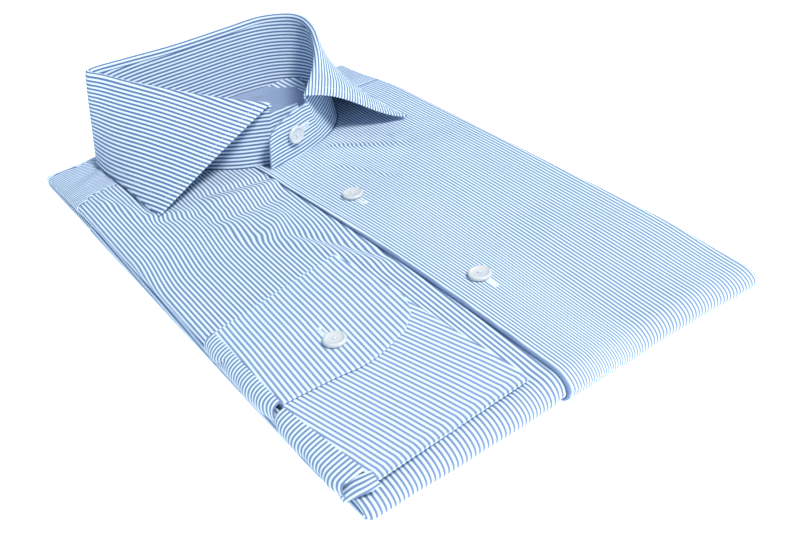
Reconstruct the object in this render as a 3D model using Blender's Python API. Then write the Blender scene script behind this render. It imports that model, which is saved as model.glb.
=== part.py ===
"""Folded dress shirt, lying on its back with the collar standing up.

The wearer's right sleeve is brought round the side of the bundle, and its buttoned cuff lies on
the front. +Y points to the collar, +X to the wearer's left and +Z up. Each cloth piece is a thin
closed wall, worked out as a grid of points on its outer face and moved in by the wall's thickness.
Sizes are in metres, written as millimetres times MM.
"""

import math
from typing import NamedTuple

import bmesh
import bpy
from mathutils import Vector

MM = 0.001

# Driving dimensions of the bundle
LEFT_SIDE_X = 105.5 * MM
RIGHT_SIDE_X = -107.5 * MM
BODY_THICKNESS = 13.5 * MM
HEM_FOLD_Y = -176 * MM
SHOULDER_FOLD_Y = 172.5 * MM
UNDER_HEM_Y = 98 * MM
YOKE_SEAM_Y = 125 * MM
SHOULDER_THICKNESS_SIDE = 8.5 * MM
SHOULDER_THICKNESS_MIDDLE = 12 * MM
THINNER_FROM_X = 40 * MM
THINNER_OVER_X = 55 * MM
THINNER_FROM_Y = 95 * MM
THINNER_OVER_Y = 72 * MM

# The low rise of the shirt round the collar's foot, an oval ring
NECK_CENTRE_Y = 110 * MM
NECK_RADIUS_X = 60 * MM
NECK_RADIUS_Y = 50 * MM
NECK_RISE = 1.6 * MM
NECK_RISE_SPREAD = 0.3

# Cloth and clearances
WALL = 1.1 * MM
COLLAR_WALL = 1.2 * MM
CUFF_WALL = 1.2 * MM
GAP = 0.3 * MM
SEAM_GAP = 0.4 * MM

# The roll of the front panels round each side of the bundle
SIDE_ROLL_RADIUS = 2.8 * MM
SIDE_RETURN = 1.6 * MM

# The left front's folded edge, a line that drifts outward down the shirt
FRONT_EDGE_X = -15.6 * MM
FRONT_EDGE_Y = 60.6 * MM
FRONT_EDGE_DRIFT = 0.025
FRONT_OVERLAP = 16 * MM
FRONT_LIFT = 1.6 * MM
LIFT_FADE = 40 * MM
DROP_LEAD = 6 * MM
DROP_RUN = 4 * MM

# Collar
FOLD_RADIUS = 2.0 * MM
FOLD_LEG = 2.5 * MM
LEAF_END_ROOM = 1.3 * MM
LEAF_CLEARANCE = 0.7 * MM
BAND_DEPTH = 1.0 * MM
NECK_CLEARANCE = 1.2 * MM
STAND_END_ROOM = 6 * MM
LEAF_OVERHANG = 4 * MM

# Hidden layers: how far in from each side, above the table and below the upper face they lie
LAYERS_INSET = 7.5 * MM
LAYERS_BOTTOM = 3.0 * MM
LAYERS_COVER = WALL + 1.0 * MM
LAYER_EDGE_GAP = 0.5 * MM
YOKE_HEM_SPACE = 4 * MM
YOKE_LEAST_RUN = 1.5 * MM
SHOULDER_ROLL_SHARE = 0.45

# Cuff and sleeve
CUFF_LEFT_X = -103.5 * MM
CUFF_LEFT_SLANT = 6.5 * MM
CUFF_SLANT_FROM = 0.52
CUFF_RIGHT_X_TOP = -30.8 * MM
CUFF_RIGHT_X_BOTTOM = -20.5 * MM
CUFF_TOP_Y_LEFT = -52 * MM
CUFF_TOP_Y_RIGHT = -37.3 * MM
CUFF_BOTTOM_Y_LEFT = -171 * MM
CUFF_BOTTOM_Y_RIGHT = -166.5 * MM
CUFF_LAYER_PITCH = 1.6 * MM
BUTTON_END_AT = 0.33
STEP_UP_BEFORE = 0.08
SLEEVE_PROUD = 0.4 * MM
SLEEVE_TOP_Y = -53 * MM
SLEEVE_SLIT_Y = -113.8 * MM
SLEEVE_SLIT_WIDTH = 2.4 * MM
SLEEVE_BOTTOM_Y = -167 * MM
SLEEVE_IN_SLOT = 2.5 * MM
SLEEVE_WALL_SIDE = 1.9 * MM
SLEEVE_WALL_END = 1.2 * MM

# Buttons
BUTTON_RADIUS = 5.6 * MM
CUFF_BUTTON_RADIUS = 5.3 * MM
BUTTON_THICKNESS = 2.2 * MM
BUTTON_RIM = 1.1 * MM
BUTTON_RIM_ROUND = 0.1 * MM
BUTTON_DISH = 0.6 * MM
BUTTON_DISH_SLOPE = 0.5 * MM
BUTTON_WIDEST_AT = 0.6
BUTTON_FOOT_INSET = 0.6 * MM

# The box centre of the finished bundle, which becomes the origin
CENTRE_X = -2.15 * MM
CENTRE_Y = -2.15 * MM

STRIPE_BLUE_WHITE = (0.62, 0.74, 0.92, 1.0)
CLOTH_ROUGHNESS = 0.85
PEARL = (0.93, 0.92, 0.90, 1.0)
PEARL_ROUGHNESS = 0.25
SHARP_ANGLE = math.radians(50)

TURN_RADIUS = BODY_THICKNESS / 2
TURN_Y = HEM_FOLD_Y + TURN_RADIUS


class Station(NamedTuple):
    """One place along the collar, in millimetres.

    The base is where the band's outer face meets the shirt, the ridge is the collar's folded top
    edge, and the edge is the leaf's outer edge with its height above the shirt. The bulge is how
    far the leaf arches out between ridge and edge.
    """

    base_x: float
    base_y: float
    ridge_x: float
    ridge_y: float
    ridge_z: float
    edge_x: float = 0.0
    edge_y: float = 0.0
    edge_lift: float = 0.0
    bulge: float = 0.0


RIGHT_STAND = [
    Station(18, 71.5, 18, 72.5, 42.5),
    Station(11, 69.8, 11, 71.5, 43.5),
    Station(2, 68.6, 5, 71.5, 46.5),
]
LEAF_STATIONS = [
    Station(-8, 70, 1, 73, 49, -78, 64, 0.3, 1.0),
    Station(-22, 79, -12, 87, 51, -79, 76, 0.2, 1.0),
    Station(-35, 92, -24.5, 104, 53, -79.5, 92, 0.2, 1.2),
    Station(-47, 106, -37, 122, 55.5, -79.8, 108, 0.2, 1.2),
    Station(-56, 121, -50, 141, 58.6, -80, 128, 0.2, 1.0),
    Station(-60, 135, -60, 155.5, 62, -80, 146, 0.2, 0.8),
    Station(-60, 146, -66, 163, 64, -78.5, 157, 0.2, 0.6),
    Station(-54, 153.5, -61, 166.2, 64.2, -68, 166, 0.3, 0.6),
    Station(-40, 157, -42, 165.5, 63.6, -44, 171, 0.4, 1.0),
    Station(-10, 158, -12, 164.2, 62.4, -12, 171.5, 0.4, 1.2),
    Station(22, 157.5, 24, 163.5, 62.4, 24, 171.5, 0.4, 1.2),
    Station(42, 152.5, 45, 160.5, 63.3, 50, 168.5, 0.4, 0.6),
    Station(54, 143, 59.5, 150.5, 63.4, 68, 158, 0.4, -1.0),
    Station(59.5, 130, 64, 138, 62.8, 77, 141, 0.6, -2.5),
    Station(60.5, 117, 61, 122, 61, 80, 122, 0.8, -3.5),
    Station(58, 104, 54.2, 107.5, 58.8, 80, 102, 1.2, -3.0),
    Station(51.5, 91, 45.8, 93.8, 56, 78, 80, 2.2, -1.0),
    Station(41.5, 80, 34.5, 80, 52.8, 75.5, 64, 3.4, 1.6),
    Station(30, 73, 21.5, 67, 49, 72.5, 50, 4.6, 4.0),
]
LEFT_STAND = [
    Station(18, 67.5, 15.5, 65, 46),
    Station(8, 64.2, 8.2, 62.6, 43.5),
    Station(-1, 62.8, -0.6, 62, 40),
    Station(-6.5, 62.4, -5.4, 61.7, 37),
    Station(-10, 62.2, -8, 61.5, 33.5),
]
STEPS_PER_STATION = 2

# Columns of points across the panels in millimetres, close together beside the neck
LEFT_FRONT_COLUMNS = (-4, 8, 19, 30, 42, 51, 57, 60.6, 62.4, 74, 88)
RIGHT_FRONT_COLUMNS = (-14.6, -17.5, -25, -37, -49, -57, -62, -76, -90)
YOKE_COLUMNS = (-90, -76, -66, -62.3, -61.1, -59, -54, -44, -28, -8, 14, 34, 48, 55.5, 59.4, 61, 62.5, 66,
                76, 90)


class CuffCorner(NamedTuple):
    """How far down the cuff its buttonhole end reaches, at a share of its width."""

    across: float
    reach: float


BUTTONHOLE_END = [
    CuffCorner(0.0, 0.521),
    CuffCorner(0.3, 0.55),
    CuffCorner(0.5, 0.575),
    CuffCorner(0.76, 0.549),
    CuffCorner(0.88, 0.508),
    CuffCorner(0.95, 0.465),
    CuffCorner(1.0, 0.397),
]


class ButtonSpot(NamedTuple):
    """A button's centre on the shirt in millimetres, and its radius in metres."""

    name: str
    x: float
    y: float
    radius: float


FRONT_BUTTONS = [
    ButtonSpot("button_front_1", 7.1, 5.4, BUTTON_RADIUS),
    ButtonSpot("button_front_2", 9.5, -97.6, BUTTON_RADIUS),
]
CUFF_BUTTON = ButtonSpot("button_cuff", -67.4, -96.0, CUFF_BUTTON_RADIUS)
COLLAR_BUTTON_X = 8.3 * MM
COLLAR_BUTTON_Z = 30.4 * MM
COLLAR_BUTTON_FACES = (0.2, -1, -0.06)
COLLAR_BUTTON_STANDOFF = 0.6 * MM


def smooth(t):
    """Ease from 0 to 1 as t goes from 0 to 1."""
    t = min(max(t, 0.0), 1.0)
    return t * t * (3 - 2 * t)


def mix(a, b, t):
    """The value a share t of the way from a to b."""
    return a + (b - a) * t


def read_table(rows, key, value, at):
    """Value of a table's column at a place, straight between its rows."""
    for low, high in zip(rows, rows[1:]):
        if at <= getattr(high, key):
            span = getattr(high, key) - getattr(low, key)
            share = (at - getattr(low, key)) / span
            return mix(getattr(low, value), getattr(high, value), max(share, 0.0))
    return getattr(rows[-1], value)


def top_height(x, y):
    """Height of the bundle's upper face: level, thinner at the shoulders, raised at the neck."""
    towards_side = smooth((abs(x) - THINNER_FROM_X) / THINNER_OVER_X)
    shoulder = mix(SHOULDER_THICKNESS_MIDDLE, SHOULDER_THICKNESS_SIDE, towards_side)
    height = mix(BODY_THICKNESS, shoulder, smooth((y - THINNER_FROM_Y) / THINNER_OVER_Y))
    ring = math.hypot(x / NECK_RADIUS_X, (y - NECK_CENTRE_Y) / NECK_RADIUS_Y)
    return height + NECK_RISE * math.exp(-(((ring - 1) / NECK_RISE_SPREAD) ** 2))


def front_edge_x(path_y):
    """Where the left front's folded edge lies, by distance down the cloth."""
    return FRONT_EDGE_X + (FRONT_EDGE_Y - path_y) * FRONT_EDGE_DRIFT


def spline(rows, steps):
    """Rows of numbers with smooth in-between rows, by a Catmull-Rom curve through them."""
    out = []
    for i in range(len(rows) - 1):
        before, start = rows[max(i - 1, 0)], rows[i]
        end, after = rows[i + 1], rows[min(i + 2, len(rows) - 1)]
        for step in range(steps):
            t = step / steps
            out.append([
                0.5 * (2 * b + (c - a) * t + (2 * a - 5 * b + 4 * c - d) * t**2
                       + (3 * b - a - 3 * c + d) * t**3)
                for a, b, c, d in zip(before, start, end, after)
            ])
    out.append(list(rows[-1]))
    return [Station(*row) for row in out]


def grid_normals(grid):
    """Unit normals of a grid of points, from its neighbours along rows and columns."""
    rows, columns = len(grid), len(grid[0])
    normals = []
    for i in range(rows):
        line = []
        for j in range(columns):
            along = grid[min(i + 1, rows - 1)][j] - grid[max(i - 1, 0)][j]
            across = grid[i][min(j + 1, columns - 1)] - grid[i][max(j - 1, 0)]
            line.append(across.cross(along).normalized())
        normals.append(line)
    return normals


def add_material(obj, name, colour, roughness):
    """A plain material of the object's own."""
    material = bpy.data.materials.new(name)
    material.use_nodes = True
    shader = material.node_tree.nodes["Principled BSDF"]
    shader.inputs["Base Color"].default_value = colour
    shader.inputs["Roughness"].default_value = roughness
    shader.inputs["Metallic"].default_value = 0.0
    material.diffuse_color = colour
    obj.data.materials.append(material)


def add_mesh(name, points, faces, colour=STRIPE_BLUE_WHITE, roughness=CLOTH_ROUGHNESS):
    """One closed body with its faces pointing out."""
    mesh = bpy.data.meshes.new(name)
    mesh.from_pydata([tuple(p) for p in points], [], faces)
    bm = bmesh.new()
    bm.from_mesh(mesh)
    bmesh.ops.recalc_face_normals(bm, faces=bm.faces)
    bm.to_mesh(mesh)
    bm.free()
    mesh.shade_smooth()
    mesh.set_sharp_from_angle(angle=SHARP_ANGLE)
    obj = bpy.data.objects.new(name, mesh)
    bpy.context.collection.objects.link(obj)
    add_material(obj, name, colour, roughness)
    return obj


def add_wall(name, grid, thickness, inward, open_cells=()):
    """A cloth wall: the grid is its outer face, moved by the thickness towards inward (+1 or -1).

    The thickness is a number, or one number for each column. Open cells, as (row, column), are
    left out, which cuts a slit.
    """
    columns = len(grid[0])
    walls = thickness if isinstance(thickness, list) else [thickness] * columns
    outer = [p for line in grid for p in line]
    inner = [p + n * wall * inward for line, normals in zip(grid, grid_normals(grid))
             for p, n, wall in zip(line, normals, walls)]
    total = len(outer)
    faces, edges = [], set()
    for i in range(len(grid) - 1):
        for j in range(columns - 1):
            if (i, j) in open_cells:
                continue
            corner = i * columns + j
            quad = [corner, corner + 1, corner + columns + 1, corner + columns]
            faces.append(quad)
            faces.append([k + total for k in reversed(quad)])
            edges.update(zip(quad, quad[1:] + quad[:1]))
    for a, b in sorted(edges):
        if (b, a) not in edges:
            faces.append([b, a, a + total, b + total])
    return add_mesh(name, outer + inner, faces)


def add_loft(name, loops):
    """One closed body through closed loops of points, with a face over each end loop."""
    count = len(loops[0])
    faces = [list(range(count)), list(range((len(loops) - 1) * count, len(loops) * count))]
    for i in range(len(loops) - 1):
        for j in range(count):
            k = (j + 1) % count
            faces.append([i * count + j, i * count + k, (i + 1) * count + k, (i + 1) * count + j])
    return add_mesh(name, [p for loop in loops for p in loop], faces)


def neck_outline():
    """The closed outline that the fronts and yoke stay outside of, round the band's base."""
    rows = spline(LEAF_STATIONS + LEFT_STAND[:2], 4)
    points = [Vector((r.base_x * MM, r.base_y * MM)) for r in rows]
    outline = []
    for before, point, after in zip(points[-1:] + points, points, points[1:] + points[:1]):
        side = (after - before).normalized()
        outline.append(point + Vector((-side.y, side.x)) * NECK_CLEARANCE)
    return outline


def neck_span(outline, x):
    """Lowest and highest Y of the neck outline at x, or None beside it."""
    crossings = []
    for a, b in zip(outline, outline[1:] + outline[:1]):
        if (a.x - x) * (b.x - x) <= 0 and a.x != b.x:
            crossings.append(mix(a.y, b.y, (x - a.x) / (b.x - a.x)))
    return (min(crossings), max(crossings)) if crossings else None


def front_top_y(outline, x):
    """Where a front panel ends towards the collar: at the stand, the neckline or the yoke seam."""
    stand = LEFT_STAND[::-1] + LEAF_STATIONS[-1:]
    if stand[0].base_x * MM - STAND_END_ROOM < x < stand[-1].base_x * MM:
        return read_table(stand, "base_x", "base_y", x / MM) * MM - NECK_CLEARANCE
    span = neck_span(outline, x)
    seam = YOKE_SEAM_Y - SEAM_GAP / 2
    return min(span[0], seam) if span else seam


def roll_centre(side):
    """X of the centre line of a side's roll."""
    return LEFT_SIDE_X - SIDE_ROLL_RADIUS if side > 0 else RIGHT_SIDE_X + SIDE_ROLL_RADIUS


def side_profile(side, inner_x, shares, roll_steps):
    """(x, depth) pairs from a panel's inner edge, out over the flat and round the side roll."""
    centre = roll_centre(side)
    pairs = [(mix(inner_x, centre, share), 0.0) for share in shares]
    for k in range(1, roll_steps + 1):
        angle = math.pi * k / roll_steps
        pairs.append((centre + side * SIDE_ROLL_RADIUS * math.sin(angle),
                      SIDE_ROLL_RADIUS * (1 - math.cos(angle))))
    pairs.append((centre - side * SIDE_RETURN, 2 * SIDE_ROLL_RADIUS))
    return pairs


def build_front(name, side, outline):
    """A front panel: down the top of the bundle, round the hem fold and back underneath."""
    top_rows, turn_rows, under_rows, roll_steps = 13, 7, 6, 5
    is_left = side > 0
    column_xs = LEFT_FRONT_COLUMNS if is_left else RIGHT_FRONT_COLUMNS

    def inner_x(path_y):
        return front_edge_x(path_y) + (0.0 if is_left else FRONT_OVERLAP)

    first, last = inner_x(FRONT_EDGE_Y), roll_centre(side)
    shares = [0.0] + [(x * MM - first) / (last - first) for x in column_xs] + [1.0]

    def off_surface(x, path_y, upper):
        """Depth below the bundle's face where the fronts overlap; negative above it."""
        past = x - front_edge_x(path_y)
        if is_left:
            return -FRONT_LIFT * (1 - smooth((past - FRONT_OVERLAP) / LIFT_FADE)) * upper
        return FRONT_LIFT * smooth((past + DROP_LEAD) / DROP_RUN) * (1 - upper)

    grid = []
    for i in range(top_rows):
        down = i / top_rows
        row = []
        for x, depth in side_profile(side, inner_x(mix(FRONT_EDGE_Y, TURN_Y, down)), shares, roll_steps):
            y = mix(front_top_y(outline, x), TURN_Y, down)
            row.append(Vector((x, y, top_height(x, y) - depth - off_surface(x, y, 1.0))))
        grid.append(row)
    for i in range(turn_rows + 1):
        angle = math.pi * i / turn_rows
        path_y = TURN_Y - TURN_RADIUS * angle
        upper = (1 + math.cos(angle)) / 2
        row = []
        for x, depth in side_profile(side, inner_x(path_y), shares, roll_steps):
            radius = TURN_RADIUS - depth - off_surface(x, path_y, upper)
            row.append(Vector((x, TURN_Y - radius * math.sin(angle),
                               TURN_RADIUS + radius * math.cos(angle))))
        grid.append(row)
    for i in range(1, under_rows + 1):
        y = mix(TURN_Y, UNDER_HEM_Y, i / under_rows)
        path_y = TURN_Y - TURN_RADIUS * math.pi - (y - TURN_Y)
        row = []
        for x, depth in side_profile(side, inner_x(path_y), shares, roll_steps):
            row.append(Vector((x, y, depth + off_surface(x, path_y, 0.0))))
        grid.append(row)
    return add_wall(name, grid, WALL, side)


def build_yoke(outline):
    """The yoke: from the front seams over the shoulder fold and a short way underneath."""
    xs = [roll_centre(-1)] + [x * MM for x in YOKE_COLUMNS] + [roll_centre(1)]
    roll_steps, turn_steps = 4, 6
    thin_roll = SHOULDER_ROLL_SHARE * SHOULDER_THICKNESS_SIDE / 2
    seam = YOKE_SEAM_Y + SEAM_GAP / 2

    def profile(roll):
        """(x, depth) pairs right across, with both side rolls of the given radius."""
        rolls = {}
        for side in (-1, 1):
            rolls[side] = []
            for k in range(1, roll_steps + 1):
                angle = math.pi * k / roll_steps
                rolls[side].append((roll_centre(side) + side * roll * math.sin(angle),
                                    roll * (1 - math.cos(angle))))
        return rolls[-1][::-1] + [(x, 0.0) for x in xs] + rolls[1]

    def fold_radius(x):
        return top_height(x, SHOULDER_FOLD_Y) / 2

    grid = []
    for share in (0.0, 0.35, 0.7, 0.9):
        row = []
        for x, depth in profile(mix(SIDE_ROLL_RADIUS, thin_roll, share)):
            span = neck_span(outline, x)
            start = max(span[1], seam) if span else seam
            end = SHOULDER_FOLD_Y - fold_radius(x)
            y = mix(min(start, end - YOKE_LEAST_RUN), end, share)
            row.append(Vector((x, y, top_height(x, y) - depth)))
        grid.append(row)
    for i in range(turn_steps + 1):
        angle = math.pi * i / turn_steps
        row = []
        for x, depth in profile(thin_roll):
            big = fold_radius(x)
            row.append(Vector((x, SHOULDER_FOLD_Y - big + (big - depth) * math.sin(angle),
                               big + (big - depth) * math.cos(angle))))
        grid.append(row)
    for share in (0.5, 1.0):
        row = []
        for x, depth in profile(thin_roll):
            y = mix(SHOULDER_FOLD_Y - fold_radius(x), UNDER_HEM_Y + YOKE_HEM_SPACE, share)
            row.append(Vector((x, y, depth)))
        grid.append(row)
    return add_wall("yoke", grid, WALL, -1)


class LayerRow(NamedTuple):
    """A cross-section of the hidden layers, in millimetres.

    The share is how full its height is, and the left and right columns tell how far the layer
    edges reach out past the core.
    """

    y: float
    share: float
    left: float
    right: float


LAYER_ROWS = [
    LayerRow(-171, 0.1, 0, 0),
    LayerRow(-170.4, 0.6, 0, 0),
    LayerRow(-168.6, 0.9, 0, 0),
    LayerRow(-166, 1.0, 0, 0),
    LayerRow(-163, 1.0, 5.9, 0.6),
    LayerRow(-48, 1.0, 5.7, 0.6),
    LayerRow(-44, 1.0, 5.6, 5.7),
    LayerRow(0, 1.0, 5.3, 5.9),
    LayerRow(50, 1.0, 5.9, 5.4),
    LayerRow(94, 1.0, 5.6, 5.9),
    LayerRow(97, 1.0, 0, 0),
    LayerRow(115, 1.0, 0, 0),
    LayerRow(135, 1.0, 0, 0),
    LayerRow(152, 1.0, 0, 0),
    LayerRow(162, 0.8, 0, 0),
    LayerRow(164.4, 0.3, 0, 0),
]


def build_folded_layers():
    """Back, turn-ins, left sleeve and tails as one rounded solid with layer edges at its sides."""
    core_left = LEFT_SIDE_X - LAYERS_INSET
    core_right = RIGHT_SIDE_X + LAYERS_INSET
    edge_low = 2 * SIDE_ROLL_RADIUS + LAYER_EDGE_GAP
    edge_high = BODY_THICKNESS - edge_low
    middle = (edge_low + edge_high) / 2
    steps = 14

    def loop_at(row):
        y = row.y * MM

        def level(z):
            return mix(middle, z, row.share)

        def side_edge(core, reach):
            return [Vector((core, y, level(edge_low))), Vector((core + reach, y, level(edge_low))),
                    Vector((core + reach, y, level(edge_high))), Vector((core, y, level(edge_high)))]

        xs = [mix(core_right, core_left, k / steps) for k in range(steps + 1)]
        below = [Vector((x, y, level(LAYERS_BOTTOM))) for x in xs]
        above = [Vector((x, y, level(top_height(x, y) - LAYERS_COVER))) for x in reversed(xs)]
        left = side_edge(core_left, row.left * MM)
        right = side_edge(core_right, -row.right * MM)[::-1]
        return below + left + above + right

    loops = [loop_at(row) for row in LAYER_ROWS]
    return add_loft("folded_layers", loops)


def outward(stations, i):
    """Horizontal unit vector out of the collar's ring at a station."""
    before, after = stations[max(i - 1, 0)], stations[min(i + 1, len(stations) - 1)]
    along = Vector((after.ridge_x - before.ridge_x, after.ridge_y - before.ridge_y, 0)).normalized()
    return Vector((-along.y, along.x, 0))


class Fold(NamedTuple):
    """The round fold at the collar's ridge, in the upright plane across it."""

    centre: Vector
    out: Vector
    band_down: Vector
    start_angle: float
    end_angle: float

    def at(self, angle, radius):
        """The point on the fold at an angle and a radius about its centre."""
        up = Vector((0, 0, 1))
        return self.centre + (self.out * math.cos(angle) + up * math.sin(angle)) * radius


def base_point(station):
    """Foot of the band's outer face, a little below the shirt's upper face."""
    x, y = station.base_x * MM, station.base_y * MM
    return Vector((x, y, top_height(x, y) - BAND_DEPTH))


def edge_point(station):
    """Outer edge of the leaf, which stays level where it hangs out over the shoulder fold."""
    x, y = station.edge_x * MM, station.edge_y * MM
    height = top_height(x, min(y, SHOULDER_FOLD_Y - LEAF_OVERHANG))
    return Vector((x, y, height + COLLAR_WALL + LEAF_CLEARANCE + station.edge_lift * MM))


def fold_at(stations, i):
    """The round fold at a station: it turns from the band's rise to the leaf's slope."""
    station = stations[i]
    out = outward(stations, i)
    ridge = Vector((station.ridge_x, station.ridge_y, station.ridge_z)) * MM
    centre = ridge - Vector((0, 0, FOLD_RADIUS))

    def angle_of(direction):
        return math.atan2(direction.z, direction.dot(out))

    down = (base_point(station) - ridge).normalized()
    rising = angle_of(-down)
    leaving = angle_of(edge_point(station) - ridge)
    half_turn = math.pi / 2
    return Fold(centre, out, down, rising + half_turn, leaving + half_turn)


def build_band():
    """The collar stand, from its right end inside the front overlap round to its left end."""
    middle = spline(LEAF_STATIONS, STEPS_PER_STATION)
    right = spline(RIGHT_STAND + LEAF_STATIONS[:1], STEPS_PER_STATION)[:-1]
    left = spline(LEAF_STATIONS[-1:] + LEFT_STAND, STEPS_PER_STATION)[1:]
    grid = []
    for group in (right, middle, left):
        for i, station in enumerate(group):
            base = base_point(station)
            if group is middle:
                fold = fold_at(middle, i)
                at_leaf_end = i in (0, len(middle) - 1)
                leg = FOLD_LEG + SEAM_GAP + (LEAF_END_ROOM if at_leaf_end else 0)
                top = fold.at(fold.start_angle, FOLD_RADIUS - COLLAR_WALL) + fold.band_down * leg
            else:
                top = Vector((station.ridge_x, station.ridge_y, station.ridge_z)) * MM
            grid.append([base, base.lerp(top, 0.35), base.lerp(top, 0.7), top])
    return add_wall("collar_band", grid, COLLAR_WALL, -1)


def build_leaf():
    """The collar leaf: a short inner leg, the round fold and the turned-down leaf."""
    stations = spline(LEAF_STATIONS, STEPS_PER_STATION)
    arc_steps, leg_steps = 6, 5
    grid = []
    for i, station in enumerate(stations):
        fold = fold_at(stations, i)
        first = fold.at(fold.start_angle, FOLD_RADIUS)
        row = [first + fold.band_down * FOLD_LEG]
        for k in range(arc_steps + 1):
            row.append(fold.at(mix(fold.start_angle, fold.end_angle, k / arc_steps), FOLD_RADIUS))
        start, end = row[-1], edge_point(station)
        rise = (end - start).cross(Vector((-fold.out.y, fold.out.x, 0))).normalized()
        if rise.z < 0:
            rise = -rise
        for k in range(1, leg_steps + 1):
            t = k / leg_steps
            arch = 4 * t * (1 - t) * station.bulge * MM
            row.append(start.lerp(end, t) + rise * arch)
        grid.append(row)
    return add_wall("collar_leaf", grid, COLLAR_WALL, 1)


def cuff_left_x(down):
    """The cuff's seam with the sleeve, which slants in below the slit."""
    past = max(down - CUFF_SLANT_FROM, 0) / (1 - CUFF_SLANT_FROM)
    return CUFF_LEFT_X + CUFF_LEFT_SLANT * past


def cuff_point(across, down, z):
    """A point on the flattened cuff by its shares across (from the sleeve) and down."""
    left = mix(CUFF_TOP_Y_LEFT, CUFF_BOTTOM_Y_LEFT, down)
    right = mix(CUFF_TOP_Y_RIGHT, CUFF_BOTTOM_Y_RIGHT, down)
    right_x = mix(CUFF_RIGHT_X_TOP, CUFF_RIGHT_X_BOTTOM, down)
    return Vector((mix(cuff_left_x(down), right_x, across), mix(left, right, across), z))


def build_cuff():
    """The cuff: one strip in a flattened turn, its buttonhole end lying over its button end."""
    base = BODY_THICKNESS + GAP + CUFF_WALL / 2
    level_1 = base + CUFF_LAYER_PITCH
    level_2 = level_1 + CUFF_LAYER_PITCH
    bend = CUFF_LAYER_PITCH / 2
    fold_steps = 4
    across_steps = [0, 0.15, 0.3, 0.45, 0.6, 0.76, 0.88, 0.95, 1]
    buttonhole_end_steps = [0, 0.12, 0.3, 0.48, 0.75, 1]
    flat = [mix(BUTTON_END_AT, 1.0, k / 4) for k in range(5)]
    middle = []
    for down in flat:
        middle.append([cuff_point(a, down, level_1) for a in across_steps])
    for k in range(1, fold_steps):
        angle = math.pi * k / fold_steps
        shift = Vector((0, -bend * math.sin(angle), 0))
        z = (base + level_1) / 2 + bend * math.cos(angle)
        middle.append([cuff_point(a, 1.0, z) + shift for a in across_steps])
    for k in range(5):
        middle.append([cuff_point(a, 1 - k / 4, base) for a in across_steps])
    for k in range(1, fold_steps):
        angle = math.pi * k / fold_steps
        shift = Vector((0, bend * math.sin(angle), 0))
        z = (base + level_1) / 2 - bend * math.cos(angle)
        middle.append([cuff_point(a, 0.0, z) + shift for a in across_steps])
    for share in buttonhole_end_steps:
        row = []
        for across in across_steps:
            reach = read_table(BUTTONHOLE_END, "across", "reach", across)
            down = reach * share
            z = mix(level_1, level_2, smooth(down / (BUTTON_END_AT - STEP_UP_BEFORE)))
            row.append(cuff_point(across, down, z))
        middle.append(row)
    normals = grid_normals(middle)
    outer = [[p + n * CUFF_WALL / 2 for p, n in zip(line, ns)] for line, ns in zip(middle, normals)]
    return add_wall("cuff_right", outer, CUFF_WALL, -1)


def build_sleeve():
    """The sleeve's last stretch: from the cuff round the side roll and in between the layers."""
    radius = SIDE_ROLL_RADIUS + SLEEVE_PROUD
    centre = Vector((roll_centre(-1), 0, BODY_THICKNESS - SIDE_ROLL_RADIUS))
    roll_steps = 8
    bulge = SLEEVE_WALL_SIDE - SLEEVE_WALL_END
    walls = [SLEEVE_WALL_END + bulge * math.sin(math.pi * k / roll_steps)
             for k in range(roll_steps + 1)]
    walls = [SLEEVE_WALL_END] + walls + [SLEEVE_WALL_END]
    slit_top = SLEEVE_SLIT_Y + SLEEVE_SLIT_WIDTH / 2
    slit_bottom = SLEEVE_SLIT_Y - SLEEVE_SLIT_WIDTH / 2
    ys = [mix(SLEEVE_TOP_Y, slit_top, k / 4) for k in range(5)]
    ys += [mix(slit_bottom, SLEEVE_BOTTOM_Y, k / 4) for k in range(5)]
    slit_row, slit_columns = 4, 7
    grid = []
    for y in ys:
        down = (y - CUFF_TOP_Y_LEFT) / (CUFF_BOTTOM_Y_LEFT - CUFF_TOP_Y_LEFT)
        row = [Vector((cuff_left_x(down) - GAP, y, centre.z + radius + walls[0]))]
        for k in range(roll_steps + 1):
            angle = math.pi * k / roll_steps
            reach = radius + walls[k + 1]
            row.append(Vector((centre.x - reach * math.sin(angle), y,
                               centre.z + reach * math.cos(angle))))
        row.append(Vector((centre.x + SLEEVE_IN_SLOT, y, centre.z - radius - walls[-1])))
        grid.append(row)
    open_cells = {(slit_row, j) for j in range(slit_columns)}
    return add_wall("sleeve_right", grid, walls, -1, open_cells)


def build_button(name, centre, normal, radius):
    """A dished button with a raised rim, turned from its profile; its back faces the cloth."""
    profile = [
        (0.0, BUTTON_THICKNESS - BUTTON_DISH),
        (radius - BUTTON_RIM - BUTTON_DISH_SLOPE, BUTTON_THICKNESS - BUTTON_DISH),
        (radius - BUTTON_RIM, BUTTON_THICKNESS - BUTTON_RIM_ROUND),
        (radius - BUTTON_RIM / 2, BUTTON_THICKNESS),
        (radius, BUTTON_THICKNESS * BUTTON_WIDEST_AT),
        (radius - BUTTON_FOOT_INSET, 0.0),
        (0.0, 0.0),
    ]
    segments = 20
    points = [Vector((0, 0, profile[0][1])), Vector((0, 0, profile[-1][1]))]
    for k in range(segments):
        angle = 2 * math.pi * k / segments
        for r, z in profile[1:-1]:
            points.append(Vector((r * math.cos(angle), r * math.sin(angle), z)))
    rings = len(profile) - 2
    faces = []
    for k in range(segments):
        here, there = 2 + k * rings, 2 + ((k + 1) % segments) * rings
        faces.append([0, here, there])
        faces.append([1, there + rings - 1, here + rings - 1])
        for r in range(rings - 1):
            faces.append([here + r, here + r + 1, there + r + 1, there + r])
    obj = add_mesh(name, points, faces, PEARL, PEARL_ROUGHNESS)
    obj.rotation_mode = "QUATERNION"
    obj.rotation_quaternion = normal.to_track_quat("Z", "Y")
    obj.location = centre


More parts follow.
